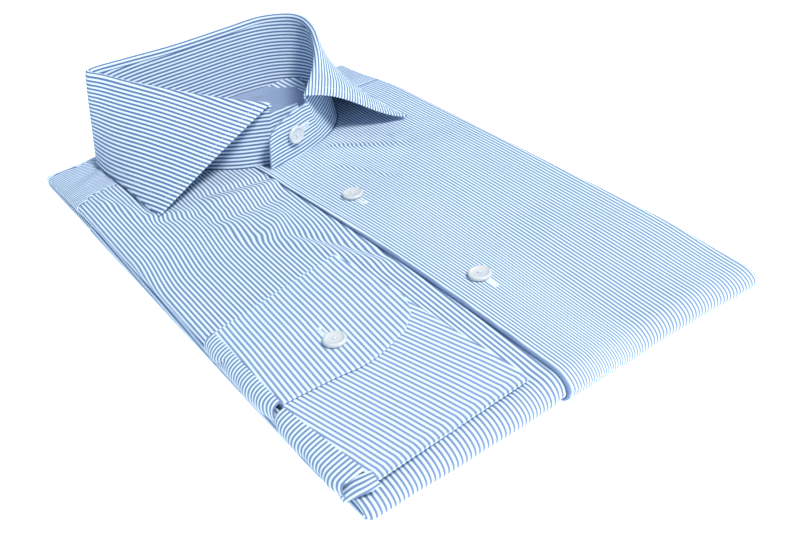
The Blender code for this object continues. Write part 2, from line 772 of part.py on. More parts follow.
def build_buttons():
    """The two front buttons, the cuff's button and the one on the collar stand."""
    up = Vector((0, 0, 1))
    for spot in FRONT_BUTTONS:
        x, y = spot.x * MM, spot.y * MM
        z = top_height(x, y) + FRONT_LIFT + GAP
        build_button(spot.name, Vector((x, y, z)), up, spot.radius)
    cuff_top = BODY_THICKNESS + GAP + CUFF_WALL + 2 * CUFF_LAYER_PITCH
    on_cuff = Vector((CUFF_BUTTON.x * MM, CUFF_BUTTON.y * MM, cuff_top + GAP))
    build_button(CUFF_BUTTON.name, on_cuff, up, CUFF_BUTTON.radius)
    stand = spline(LEAF_STATIONS[-1:] + LEFT_STAND, 8)
    nearest = min(stand, key=lambda s: abs(s.base_x * MM - COLLAR_BUTTON_X))
    foot = base_point(nearest)
    ridge = Vector((nearest.ridge_x, nearest.ridge_y, nearest.ridge_z)) * MM
    on_face = foot.lerp(ridge, (COLLAR_BUTTON_Z - foot.z) / (ridge.z - foot.z))
    out = Vector(COLLAR_BUTTON_FACES).normalized()
    place = on_face + out * COLLAR_BUTTON_STANDOFF
    build_button("button_collar", place, out, CUFF_BUTTON_RADIUS)


def main():
    """Build every piece, then move the bundle so that its box is centred on the origin."""
    for obj in list(bpy.data.objects):
        bpy.data.objects.remove(obj, do_unlink=True)
    outline = neck_outline()
    build_folded_layers()
    build_front("front_left", 1, outline)
    build_front("front_right", -1, outline)
    build_yoke(outline)
    build_band()
    build_leaf()
    build_cuff()
    build_sleeve()
    build_buttons()
    for obj in bpy.data.objects:
        obj.location -= Vector((CENTRE_X, CENTRE_Y, 0))
    bpy.context.view_layer.update()


main()
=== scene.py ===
"""Looks of a folded dress shirt: striped cotton shells, stitching, pearl buttons, floor and light.

The cloth is laid out in the bundle's own frame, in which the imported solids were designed: +X to the
wearer's left, +Y to the collar, +Z up, lengths in metres. Each piece is a grid of points over the
solid that it replaces. A UV map named Cloth keeps every point's place in the cloth, across and
along the stripes, so that the stripes follow folds and creases.
"""

import logging
import math
from dataclasses import dataclass, field
from enum import Enum
from typing import NamedTuple, Sequence

import bmesh
import bpy
import numpy as np
from mathutils import Matrix, Vector


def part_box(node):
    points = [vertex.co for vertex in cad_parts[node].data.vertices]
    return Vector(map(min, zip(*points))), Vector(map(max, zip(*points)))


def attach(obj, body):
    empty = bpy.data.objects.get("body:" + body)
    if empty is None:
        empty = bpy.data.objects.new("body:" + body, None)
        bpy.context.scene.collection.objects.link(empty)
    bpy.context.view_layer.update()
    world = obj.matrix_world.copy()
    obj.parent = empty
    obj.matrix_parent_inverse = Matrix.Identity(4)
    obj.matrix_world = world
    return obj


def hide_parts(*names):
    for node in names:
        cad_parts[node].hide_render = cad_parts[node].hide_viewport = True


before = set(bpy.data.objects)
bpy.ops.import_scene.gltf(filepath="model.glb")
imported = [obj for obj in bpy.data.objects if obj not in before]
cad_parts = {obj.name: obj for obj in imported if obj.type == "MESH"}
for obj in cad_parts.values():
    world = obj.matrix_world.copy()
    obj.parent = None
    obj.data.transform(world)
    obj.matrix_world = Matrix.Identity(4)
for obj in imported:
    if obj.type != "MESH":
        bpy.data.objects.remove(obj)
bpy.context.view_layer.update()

log = logging.getLogger("folded_shirt")

MM = 0.001
UP = np.array([0.0, 0.0, 1.0])
STRIPE_PITCH = 2.05 * MM
SHIRTING = 0.5 * MM
GAP = 0.3 * MM
HALF_TONE = (0.738 * STRIPE_PITCH, 0.0)
EDGE_TONE = 0.705 * STRIPE_PITCH


class Side(Enum):
    """The wearer's left or right, as a sign along X."""

    LEFT = 1
    RIGHT = -1


class Facing(Enum):
    """Which way a cloth's wall grows from its grid, along the grid's normals or against them."""

    ALONG = 1
    AGAINST = -1


class Crease(NamedTuple):
    """A soft ridge, or a trough if its height is negative, between two places, in millimetres.

    The sway is how far it carries the stripes sideways.
    """

    x0: float
    y0: float
    x1: float
    y1: float
    width: float
    height: float
    sway: float = 0.0


class Station(NamedTuple):
    """One place along the collar, in millimetres, as the solids have it.

    The base is the band's foot, the ridge is the collar's folded top edge, the edge is the leaf's
    outer edge with its height above the shirt, and the bulge is how far the leaf arches out.
    """

    base_x: float
    base_y: float
    ridge_x: float
    ridge_y: float
    ridge_z: float
    edge_x: float = 0.0
    edge_y: float = 0.0
    edge_lift: float = 0.0
    bulge: float = 0.0


RIGHT_STAND = [
    Station(18, 71.5, 18, 72.5, 42.5),
    Station(11, 69.8, 11, 71.5, 43.5),
    Station(2, 68.6, 5, 71.5, 46.5),
]
LEAF_STATIONS = [
    Station(-8, 70, 1, 73, 49, -78, 64, 0.3, 1.0),
    Station(-22, 79, -12, 87, 51, -79, 76, 0.2, 1.0),
    Station(-35, 92, -24.5, 104, 53, -79.5, 92, 0.2, 1.2),
    Station(-47, 106, -37, 122, 55.5, -79.8, 108, 0.2, 1.2),
    Station(-56, 121, -50, 141, 58.6, -80, 128, 0.2, 1.0),
    Station(-60, 135, -60, 155.5, 62, -80, 146, 0.2, 0.8),
    Station(-60, 146, -66, 163, 64, -78.5, 157, 0.2, 0.6),
    Station(-54, 153.5, -61, 166.2, 64.2, -68, 166, 0.3, 0.6),
    Station(-40, 157, -42, 165.5, 63.6, -44, 171, 0.4, 1.0),
    Station(-10, 158, -12, 164.2, 62.4, -12, 171.5, 0.4, 1.2),
    Station(22, 157.5, 24, 163.5, 62.4, 24, 171.5, 0.4, 1.2),
    Station(42, 152.5, 45, 160.5, 63.3, 50, 168.5, 0.4, 0.6),
    Station(54, 143, 59.5, 150.5, 63.4, 68, 158, 0.4, -1.0),
    Station(59.5, 130, 64, 138, 62.8, 77, 141, 0.6, -2.5),
    Station(60.5, 117, 61, 122, 61, 80, 122, 0.8, -3.5),
    Station(58, 104, 54.2, 107.5, 58.8, 80, 102, 1.2, -3.0),
    Station(51.5, 91, 45.8, 93.8, 56, 78.6, 81, 1.4, -1.0),
    Station(41.5, 80, 34.5, 80, 52.8, 79.2, 69.6, 1.1, 1.4),
    Station(30, 73, 21.5, 67, 49, 80.4, 59.4, 0.8, 1.6),
]
LEFT_STAND = [
    Station(18, 67.5, 15.5, 65, 46),
    Station(8, 64.2, 8.2, 62.6, 43.5),
    Station(-1, 62.8, -0.6, 62, 40),
    Station(-6.5, 62.4, -5.4, 61.7, 37),
    Station(-10, 62.2, -8, 61.5, 33.5),
]


def smooth(t: float | np.ndarray) -> float | np.ndarray:
    """Ease from 0 to 1 as t goes from 0 to 1."""
    t = np.clip(t, 0.0, 1.0)
    return t * t * (3 - 2 * t)


def mix(a: float | np.ndarray, b: float | np.ndarray, t: float | np.ndarray) -> float | np.ndarray:
    """The value a share t of the way from a to b."""
    return a + (b - a) * t


def refine(values: Sequence[float], step: float) -> np.ndarray:
    """Values with evenly spaced ones added between them.

    Args:
        values: The places to keep, in order.
        step: The widest space to leave between two places.

    Returns:
        The places kept and added, in order.
    """
    out = [values[0]]
    for low, high in zip(values, values[1:]):
        count = max(1, math.ceil(abs(high - low) / step - 1e-9))
        out += [mix(low, high, k / count) for k in range(1, count + 1)]
    return np.array(out)


def spline(rows: Sequence[Sequence[float]], steps: int) -> np.ndarray:
    """Rows of numbers with smooth rows in between, by a Catmull-Rom curve through them.

    Args:
        rows: The rows that the curve goes through.
        steps: How many steps each stretch between two rows gets.

    Returns:
        The rows of the curve, the given ones included.
    """
    given = np.array(rows, float)
    padded = np.vstack([given[:1], given, given[-1:]])
    out = []
    for i in range(len(given) - 1):
        a, b, c, d = padded[i:i + 4]
        for t in np.arange(steps) / steps:
            out.append(0.5 * (2 * b + (c - a) * t + (2 * a - 5 * b + 4 * c - d) * t**2
                              + (3 * b - a - 3 * c + d) * t**3))
    out.append(given[-1])
    return np.array(out)


def unit(vectors: np.ndarray) -> np.ndarray:
    """The vectors along the last axis, made one long."""
    return vectors / np.maximum(np.linalg.norm(vectors, axis=-1, keepdims=True), 1e-12)


def steps_along(points: np.ndarray) -> np.ndarray:
    """Distance along a line of points, from its first one."""
    hops = np.linalg.norm(np.diff(points, axis=0), axis=1)
    return np.concatenate([[0.0], np.cumsum(hops)])


def shown(name: str, data: bpy.types.ID) -> bpy.types.Object:
    """A new object in the scene with the given mesh, light or camera."""
    obj = bpy.data.objects.new(name, data)
    bpy.context.scene.collection.objects.link(obj)
    return obj


def grid_normals(points: np.ndarray) -> np.ndarray:
    """Unit normals of a grid of points, from its neighbours along rows and columns."""
    along = np.gradient(points, axis=0)
    across = np.gradient(points, axis=1)
    return unit(np.cross(across, along))


@dataclass(frozen=True)
class BundleForm:
    """The outer form of the folded bundle, with the sizes of its solids."""

    left_side_x: float = 105.5 * MM
    right_side_x: float = -107.5 * MM
    thickness: float = 13.5 * MM
    hem_fold_y: float = -176 * MM
    shoulder_fold_y: float = 172.5 * MM
    under_hem_y: float = 98 * MM
    yoke_seam_y: float = 125 * MM
    seam_drop: float = 4.6 * MM
    seam_hook: float = 8.0 * MM
    hem_reach: float = 9.5 * MM
    corner_pinch: float = 0.2
    cuff_pinch: float = 0.26
    corner_drawn_in: float = 0.02
    under_cuff: float = 0.09
    shoulder_side: float = 8.5 * MM
    shoulder_middle: float = 12 * MM
    roll_radius: float = 2.8 * MM
    roll_return: float = 1.6 * MM
    neck_clearance: float = 0.45 * MM
    stand_end_room: float = 1.6 * MM
    thins_from_y: float = 95 * MM
    thins_over: float = 72 * MM
    neck_ring_height: float = 1.6 * MM

    @property
    def turn_radius(self) -> float:
        """Radius of the fold at the hem end."""
        return self.thickness / 2

    @property
    def turn_y(self) -> float:
        """Where the fold at the hem end begins."""
        return self.hem_fold_y + self.turn_radius

    def seam_y(self, x: np.ndarray) -> np.ndarray:
        """The yoke seam's place, which hooks down the shirt near the right side."""
        drop = self.seam_drop * smooth((-x - 50 * MM) / (25 * MM))
        hook = self.seam_hook * smooth((-x - 93 * MM) / (13 * MM))
        return self.yoke_seam_y - drop - hook

    def pinched(self, points: np.ndarray) -> np.ndarray:
        """The points with the hem's corners and the hem under the cuff flattened, the near one drawn in."""
        x, y = points[..., 0], points[..., 1]
        far = smooth((x - 62 * MM) / (42 * MM)) * smooth((-112 * MM - y) / (60 * MM))
        near = smooth((-x - 62 * MM) / (42 * MM)) * smooth((-138 * MM - y) / (26 * MM))
        below = smooth((-x - 10 * MM) / (12 * MM)) * smooth((-142 * MM - y) / (24 * MM))
        flat = points.copy()
        flat[..., 0] *= 1 - self.corner_drawn_in * near
        flat[..., 2] *= 1 - self.corner_pinch * far - self.cuff_pinch * near - self.under_cuff * below
        return flat

    def thinning(self, y: float | np.ndarray) -> float | np.ndarray:
        """How far the bundle has thinned towards the shoulders, from 0 to 1."""
        return smooth((y - self.thins_from_y) / self.thins_over)

    def top_height(self, x: np.ndarray, y: np.ndarray) -> np.ndarray:
        """Height of the upper face: level, thinner at the shoulders, raised round the neck.

        Args:
            x: Places across the bundle.
            y: Places along the bundle.

        Returns:
            The height at each place.
        """
        towards_side = smooth((np.abs(x) - 40 * MM) / (55 * MM))
        shoulder = mix(self.shoulder_middle, self.shoulder_side, towards_side)
        height = mix(self.thickness, shoulder, self.thinning(y))
        ring = np.hypot(x / (60 * MM), (y - 110 * MM) / (50 * MM))
        return height + self.neck_ring_height * np.exp(-(((ring - 1) / 0.3) ** 2))

    def roll_centre(self, side: Side) -> float:
        """X of the centre line of a side's roll."""
        if side is Side.LEFT:
            return self.left_side_x - self.roll_radius
        return self.right_side_x + self.roll_radius

    def neck_outline(self) -> np.ndarray:
        """The closed outline that the fronts and yoke end at, round the band's foot."""
        rows = spline(LEAF_STATIONS + LEFT_STAND[:2], 8) * MM
        points = rows[:, :2]
        side = unit(np.roll(points, -1, axis=0) - np.roll(points, 1, axis=0))
        return points + np.stack([-side[:, 1], side[:, 0]], axis=1) * self.neck_clearance

    def neck_span(self, x: float) -> tuple[float, float] | None:
        """Lowest and highest Y of the neck outline at x, or None beside it."""
        a = self.neck_outline()
        b = np.roll(a, -1, axis=0)
        hit = ((a[:, 0] - x) * (b[:, 0] - x) <= 0) & (a[:, 0] != b[:, 0])
        if not hit.any():
            return None
        share = (x - a[hit, 0]) / (b[hit, 0] - a[hit, 0])
        y = mix(a[hit, 1], b[hit, 1], share)
        return float(y.min()), float(y.max())

    def front_top_y(self, x: float, tuck: float) -> float:
        """Where a front ends towards the collar: at the stand, the neckline or under the yoke.

        Args:
            x: A place across the front.
            tuck: How far the front goes on under the yoke.

        Returns:
            The Y of the front's upper end there.
        """
        stand = spline(LEFT_STAND[::-1] + LEAF_STATIONS[-1:], 4) * MM
        if stand[0, 0] - self.stand_end_room < x < stand[-1, 0]:
            return float(np.interp(x, stand[:, 0], stand[:, 1])) - self.neck_clearance
        span = self.neck_span(x)
        seam = float(self.seam_y(np.array(x))) + tuck
        return min(span[0], seam) if span else seam


FORM = BundleForm()
SHIFT = np.array([
    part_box("front_left")[1].x - FORM.left_side_x,
    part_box("yoke")[1].y - FORM.shoulder_fold_y,
    0.0,
])


def relief(creases: Sequence[Crease], x: np.ndarray, y: np.ndarray) -> tuple[np.ndarray, np.ndarray]:
    """Height and sideways sway that a table of creases gives to the upper face.

    Args:
        creases: The creases.
        x: Places across the bundle.
        y: Places along the bundle.

    Returns:
        The added height and the sway of the stripes, in metres.
    """
    height, sway = np.zeros_like(x), np.zeros_like(x)
    for crease in creases:
        x0, y0, x1, y1, width = (v * MM for v in crease[:5])
        run = np.array([x1 - x0, y1 - y0])
        length = np.linalg.norm(run)
        run = run / length
        along = (x - x0) * run[0] + (y - y0) * run[1]
        off = -(x - x0) * run[1] + (y - y0) * run[0]
        share = along / length
        bend = 0.25 * width * np.sin(math.pi * np.clip(share, 0, 1))
        shape = np.exp(-(((off - bend) / width) ** 2))
        shape = shape * smooth(share / 0.3 + 0.5) * smooth((1 - share) / 0.3 + 0.5)
        height += crease.height * MM * shape
        sway += crease.sway * MM * shape
    return height, sway


@dataclass
class ClothGrid:
    """A grid of points on a cloth's outer face.

    Attributes:
        points: Rows by columns by three, in the bundle's frame.
        cloth: Rows by columns by two, metres across and along the stripes.
        thickness: The cloth's thickness.
        facing: Which way the wall grows from the grid.
        square: Names of the sides whose rims are square, where another cloth adjoins.
        plain_rim: Whether the rims show the cloth's mean colour and no stripes.
    """

    points: np.ndarray
    cloth: np.ndarray
    thickness: float
    facing: Facing
    square: Sequence[str] = ()
    plain_rim: bool = False

    def edge_out(self) -> np.ndarray:
        """For each point on the rim, the direction out of the grid; zero inside it."""
        p = self.points
        out = np.zeros_like(p)
        out[0] += unit(p[0] - p[1])
        out[-1] += unit(p[-1] - p[-2])
        out[:, 0] += unit(p[:, 0] - p[:, 1])
        out[:, -1] += unit(p[:, -1] - p[:, -2])
        out = unit(out)
        if "first column" in self.square:
            out[:, 0] = 0
        if "last column" in self.square:
            out[:, -1] = 0
        return out


@dataclass
class ClothMesh:
    """Closed cloth walls with rounded rims, gathered into one mesh object."""

    name: str
    points: list = field(default_factory=list)
    faces: list = field(default_factory=list)
    cloth: list = field(default_factory=list)
    bake: list = field(default_factory=list)
    plain: list = field(default_factory=list)
    total: int = 0

    def add(self, grid: ClothGrid, slot: tuple[float, float] = (0.0, 1.0)) -> None:
        """Adds a grid as a closed wall.

        Args:
            grid: The cloth's outer face.
            slot: The share of the bake map's height that this grid takes.
        """
        rows, columns = grid.points.shape[:2]
        count = rows * columns
        normals = grid_normals(grid.points) * grid.facing.value
        outer = grid.points.reshape(-1, 3)
        inner = outer + normals.reshape(-1, 3) * grid.thickness
        rim = np.concatenate([
            np.arange(columns),
            np.arange(1, rows) * columns + columns - 1,
            (rows - 1) * columns + np.arange(columns - 2, -1, -1),
            np.arange(rows - 2, 0, -1) * columns,
        ])
        middle = (outer[rim] + inner[rim]) / 2
        middle = middle + grid.edge_out().reshape(-1, 3)[rim] * grid.thickness / 2
        corner = (np.arange(rows - 1)[:, None] * columns + np.arange(columns - 1)).ravel()
        quads = np.stack([corner, corner + 1, corner + columns + 1, corner + columns], axis=1)
        after = np.roll(np.arange(len(rim)), -1)
        low, high = rim, rim[after]
        m = 2 * count + np.arange(len(rim))
        rounds = np.concatenate([
            np.stack([high, low, m, m[after]], axis=1),
            np.stack([m[after], m, low + count, high + count], axis=1),
        ])
        faces = np.concatenate([quads, (quads + count)[:, ::-1], rounds])
        plain = np.arange(len(faces)) >= 2 * len(quads) if grid.plain_rim else np.zeros(len(faces), bool)
        if grid.facing is Facing.ALONG:
            faces = faces[:, ::-1]
        self.plain.append(plain)
        cloth = grid.cloth.reshape(-1, 2)
        self.points.append(np.concatenate([outer, inner, middle]))
        self.cloth.append(np.concatenate([cloth, cloth, cloth[rim]]))
        self.bake.append(self._bake_places(grid, rim, slot))
        self.faces.append(faces + self.total)
        self.total += 2 * count + len(rim)

    @staticmethod
    def _bake_places(grid: ClothGrid, rim: np.ndarray, slot: tuple[float, float]) -> np.ndarray:
        """Places of a wall's points on the bake map: outer face above, inner face below it."""
        rows, columns = grid.points.shape[:2]
        down = steps_along(grid.points[:, columns // 2])
        across = steps_along(grid.points[rows // 2])
        s = np.broadcast_to((across / across[-1])[None, :], (rows, columns)).ravel()
        t = np.broadcast_to((down / down[-1])[:, None], (rows, columns)).ravel()
        s = 0.01 + 0.98 * s
        low, high = slot
        tall = high - low
        outer = np.stack([s, low + tall * (0.38 + 0.61 * t)], axis=1)
        inner = np.stack([s, low + tall * (0.02 + 0.32 * t)], axis=1)
        turned = np.stack([s[rim], low + tall * (0.35 + 0.02 * t[rim])], axis=1)
        return np.concatenate([outer, inner, turned])

    def build(self, material: bpy.types.Material) -> bpy.types.Object:
        """Makes the mesh object.

        Args:
            material: The cloth's finish.

        Returns:
            The new object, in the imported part's frame.
        """
        points = np.concatenate(self.points) + SHIFT
        faces = np.concatenate(self.faces)
        mesh = bpy.data.meshes.new(self.name)
        mesh.from_pydata(points.tolist(), [], faces.tolist())
        corners = faces.ravel()
        for title, places in (("Cloth", self.cloth), ("OFBake", self.bake)):
            layer = mesh.uv_layers.new(name=title)
            flat = np.concatenate(places)[corners].astype(np.float32)
            if title == "Cloth":
                flat[np.repeat(np.concatenate(self.plain), 4)] = HALF_TONE
            layer.data.foreach_set("uv", flat.ravel())
        mesh.shade_smooth()
        mesh.set_sharp_from_angle(angle=math.radians(62))
        mesh.materials.append(material)
        return shown(self.name, mesh)


class NodePen:
    """Writes shader nodes in few words."""

    def __init__(self, material: bpy.types.Material) -> None:
        """Starts on a new material's own node tree."""
        material.use_nodes = True
        self.tree = material.node_tree
        self.shader = self.tree.nodes["Principled BSDF"]

    def node(self, kind: str, **settings: object) -> bpy.types.Node:
        """A new node with the given settings."""
        made = self.tree.nodes.new(kind)
        for key, value in settings.items():
            setattr(made, key, value)
        return made

    def link(self, source: bpy.types.NodeSocket, target: bpy.types.NodeSocket) -> None:
        """Joins two sockets."""
        self.tree.links.new(source, target)

    def math(self, operation: str, *values: float | bpy.types.NodeSocket) -> bpy.types.NodeSocket:
        """A sum of sockets and numbers.

        Args:
            operation: The Math node's operation.
            values: Its inputs, each a socket or a number.

        Returns:
            The result's socket.
        """
        made = self.node("ShaderNodeMath", operation=operation)
        for socket, value in zip(made.inputs, values):
            if isinstance(value, (int, float)):
                socket.default_value = value
            else:
                self.link(value, socket)
        return made.outputs[0]

    def noise(self, vector: bpy.types.NodeSocket, scale: float, detail: float) -> bpy.types.NodeSocket:
        """Noise between 0 and 1 at a place."""
        made = self.node("ShaderNodeTexNoise")
        made.inputs["Scale"].default_value = scale
        made.inputs["Detail"].default_value = detail
        self.link(vector, made.inputs["Vector"])
        return made.outputs["Fac"]

    def ramp(self, value: bpy.types.NodeSocket, low: float, high: float,
             to_low: float, to_high: float, soft: bool = False) -> bpy.types.NodeSocket:
        """Maps a range of values to another."""
        kind = "SMOOTHSTEP" if soft else "LINEAR"
        made = self.node("ShaderNodeMapRange", interpolation_type=kind)
        for name, number in zip(("From Min", "From Max", "To Min", "To Max"),
                                (low, high, to_low, to_high)):
            made.inputs[name].default_value = number
        self.link(value, made.inputs["Value"])
        return made.outputs["Result"]

    def bump(self, height: bpy.types.NodeSocket, strength: float, distance: float) -> None:
        """Raises the shader's surface by a height."""
        made = self.node("ShaderNodeBump")
        made.inputs["Strength"].default_value = strength
        made.inputs["Distance"].default_value = distance
        self.link(height, made.inputs["Height"])
        self.link(made.outputs["Normal"], self.shader.inputs["Normal"])

    def look(self, **settings: float | Sequence[float]) -> None:
        """Sets the shader's inputs, with a low line for each space in an input's name."""
        for name, value in settings.items():
            self.shader.inputs[name.replace("_", " ")].default_value = value

    def blend(self, factor: float | bpy.types.NodeSocket, a: object, b: object,
              blend_type: str = "MIX") -> bpy.types.NodeSocket:
        """Mixes two colours, each a socket or a colour."""
        made = self.node("ShaderNodeMix", data_type="RGBA", blend_type=blend_type)
        for socket, value in ((made.inputs[0], factor), (made.inputs[6], a), (made.inputs[7], b)):
            if isinstance(value, bpy.types.NodeSocket):
                self.link(value, socket)
            else:
                socket.default_value = value
        return made.outputs[2]


@dataclass(frozen=True)
class StripedCotton:
    """Yarn-dyed shirting: one blue and one white stripe in each pitch, in a fine plain weave."""

    name: str
    blue: tuple[float, float, float, float] = (0.18, 0.262, 0.44, 1.0)
    white: tuple[float, float, float, float] = (0.78, 0.90, 0.99, 1.0)
    pitch: float = STRIPE_PITCH
    blue_share: float = 0.5
    yarn: float = 0.27 * MM
    bump: float = 0.25

    def make(self) -> bpy.types.Material:
        """Makes the material, with stripes, slubs, weave and a soft sheen."""
        material = bpy.data.materials.new(self.name)
        pen = NodePen(material)
        place = pen.node("ShaderNodeUVMap", uv_map="Cloth").outputs["UV"]
        split = pen.node("ShaderNodeSeparateXYZ")
        pen.link(place, split.inputs[0])
        across, along = split.outputs["X"], split.outputs["Y"]
        stretched = pen.node("ShaderNodeMapping")
        stretched.inputs["Scale"].default_value = (2600.0, 90.0, 1.0)
        pen.link(place, stretched.inputs["Vector"])
        slub = pen.noise(stretched.outputs["Vector"], 1.0, 2.0)
        wander = pen.math("MULTIPLY", pen.math("SUBTRACT", slub, 0.5), 0.05)
        phase = pen.math("ADD", pen.math("DIVIDE", across, self.pitch), wander)
        from_white = pen.math("ABSOLUTE", pen.math("SUBTRACT", pen.math("FRACT", phase), 0.5))
        edge = self.blue_share / 2
        blueness = pen.ramp(from_white, edge + 0.035, edge - 0.035, 0.0, 1.0, soft=True)
        colour = pen.blend(blueness, self.white, self.blue)
        tint = pen.ramp(slub, 0.25, 0.75, 0.93, 1.06)
        cloudy = pen.noise(pen.node("ShaderNodeTexCoord").outputs["Object"], 22.0, 3.0)
        shade = pen.math("MULTIPLY", tint, pen.ramp(cloudy, 0.3, 0.7, 0.975, 1.02))
        grey = pen.node("ShaderNodeCombineXYZ")
        for socket in grey.inputs:
            pen.link(shade, socket)
        pen.link(pen.blend(1.0, colour, grey.outputs[0], "MULTIPLY"), pen.shader.inputs["Base Color"])
        turns = 2 * math.pi / self.yarn
        warp = pen.math("SINE", pen.math("MULTIPLY", across, turns))
        weft = pen.math("SINE", pen.math("MULTIPLY", along, turns * 1.15))
        height = pen.math("MULTIPLY", warp, weft)
        height = pen.math("ADD", height, pen.math("MULTIPLY", slub, 1.5))
        pen.bump(height, self.bump, 0.03 * MM)
        pen.link(pen.ramp(cloudy, 0.3, 0.7, 0.62, 0.76), pen.shader.inputs["Roughness"])
        pen.look(Specular_IOR_Level=0.28, Sheen_Weight=0.12, Sheen_Roughness=0.45)
        return material


@dataclass(frozen=True)
class PlainCotton:
    """Plain woven cotton in one colour, for the bare place inside the neck, where a dark colour also paints
    the shade.
    """

    name: str
    colour: tuple[float, float, float, float]

    def make(self) -> bpy.types.Material:
        """Makes the material, with a fine weave and slight clouding."""
        material = bpy.data.materials.new(self.name)
        pen = NodePen(material)
        place = pen.node("ShaderNodeUVMap", uv_map="Cloth").outputs["UV"]
        split = pen.node("ShaderNodeSeparateXYZ")
        pen.link(place, split.inputs[0])
        cloudy = pen.noise(place, 160.0, 3.0)
        paler = tuple(min(1.0, c * 1.12) for c in self.colour[:3]) + (1.0,)
        pen.link(pen.blend(pen.ramp(cloudy, 0.3, 0.7, 0.0, 1.0), self.colour, paler),
                 pen.shader.inputs["Base Color"])
        turns = 2 * math.pi / (0.4 * MM)
        warp = pen.math("SINE", pen.math("MULTIPLY", split.outputs["X"], turns))
        weft = pen.math("SINE", pen.math("MULTIPLY", split.outputs["Y"], turns))
        pen.bump(pen.math("MULTIPLY", warp, weft), 0.3, 0.04 * MM)
        pen.look(Roughness=0.7, Sheen_Weight=0.15)
        return material


@dataclass(frozen=True)
class SewingThread:
    """Matt white polyester-cotton thread with a slight twist."""

    name: str
    colour: tuple[float, float, float, float] = (0.80, 0.86, 0.93, 1.0)

    def make(self) -> bpy.types.Material:
        """Makes the material."""
        material = bpy.data.materials.new(self.name)
        pen = NodePen(material)
        place = pen.node("ShaderNodeTexCoord").outputs["Object"]
        twist = pen.noise(place, 2400.0, 1.0)
        duller = tuple(c * 0.88 for c in self.colour[:3]) + (1.0,)
        pen.link(pen.blend(twist, duller, self.colour), pen.shader.inputs["Base Color"])
        pen.bump(twist, 0.3, 0.03 * MM)
        pen.look(Roughness=0.6, Sheen_Weight=0.2)
        return material


@dataclass(frozen=True)
class PearlButton:
    """Pale mother-of-pearl look: cloudy warm and cool whites under a clear gloss."""

    name: str
    warm: tuple[float, float, float, float] = (0.74, 0.71, 0.66, 1.0)
    cool: tuple[float, float, float, float] = (0.63, 0.67, 0.70, 1.0)

    def make(self) -> bpy.types.Material:
        """Makes the material."""
        material = bpy.data.materials.new(self.name)
        pen = NodePen(material)
        place = pen.node("ShaderNodeTexCoord").outputs["Object"]
        cloudy = pen.noise(place, 320.0, 4.0)
        colour = pen.blend(pen.ramp(cloudy, 0.35, 0.65, 0.0, 1.0), self.warm, self.cool)
        pen.link(colour, pen.shader.inputs["Base Color"])
        pen.link(pen.ramp(cloudy, 0.3, 0.7, 0.16, 0.3), pen.shader.inputs["Roughness"])
        scatter = (1.5 * MM, 1.5 * MM, 1.5 * MM)
        pen.look(Coat_Weight=0.6, Coat_Roughness=0.08, Subsurface_Weight=0.2, Subsurface_Radius=scatter)
        return material


@dataclass
class Finishes:
    """Every material of the shirt, made once."""

    shirting: bpy.types.Material = field(
        default_factory=lambda: StripedCotton("shirting_stripes").make())
    # The same shirting as the body, with a deeper blue that paints shade on the collar.
    collar: bpy.types.Material = field(
        default_factory=lambda: StripedCotton("collar_stripes_painted_shade", (0.125, 0.20, 0.385, 1.0),
                                              bump=0.2).make())
    # The same shirting as the body, with a paler blue and narrower blue stripes that paint the brighter
    # light on the cuff.
    cuff: bpy.types.Material = field(
        default_factory=lambda: StripedCotton("cuff_stripes_painted_light", (0.225, 0.32, 0.52, 1.0),
                                              blue_share=0.48, bump=0.2).make())
    # Plain cloth for the bare place inside the neck; its dark blue-grey paints the shade there.
    bare_place_painted_shade: bpy.types.Material = field(
        default_factory=lambda: PlainCotton("bare_neck_place_painted_shade", (0.245, 0.315, 0.46, 1.0)).make())
    thread: bpy.types.Material = field(default_factory=lambda: SewingThread("white_thread").make())
    pearl: bpy.types.Material = field(default_factory=lambda: PearlButton("pearl").make())


def dress(piece: bpy.types.Object, slot: str, *nodes: str) -> bpy.types.Object:
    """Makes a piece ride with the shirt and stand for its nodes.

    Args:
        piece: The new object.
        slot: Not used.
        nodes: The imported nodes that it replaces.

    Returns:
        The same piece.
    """
    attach(piece, "root")
    if nodes:
        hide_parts(*nodes)
    log.info("%s: %d faces", piece.name, len(piece.data.polygons))
    return piece


def cloth_piece(name: str, slot: str, nodes: Sequence[str], material: bpy.types.Material,
                *grids: ClothGrid) -> bpy.types.Object:
    """Makes a piece from its grids and dresses it.

    Args:
        name: The piece's name.
        slot: Not used; dress ignores it.
        nodes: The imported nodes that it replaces.
        material: The cloth's finish.
        grids: The piece's grids, which share the bake map evenly.

    Returns:
        The new piece.
    """
    mesh = ClothMesh(name)
    for k, grid in enumerate(grids):
        mesh.add(grid, (k / len(grids), (k + 1) / len(grids)))
    return dress(mesh.build(material), slot, *nodes)


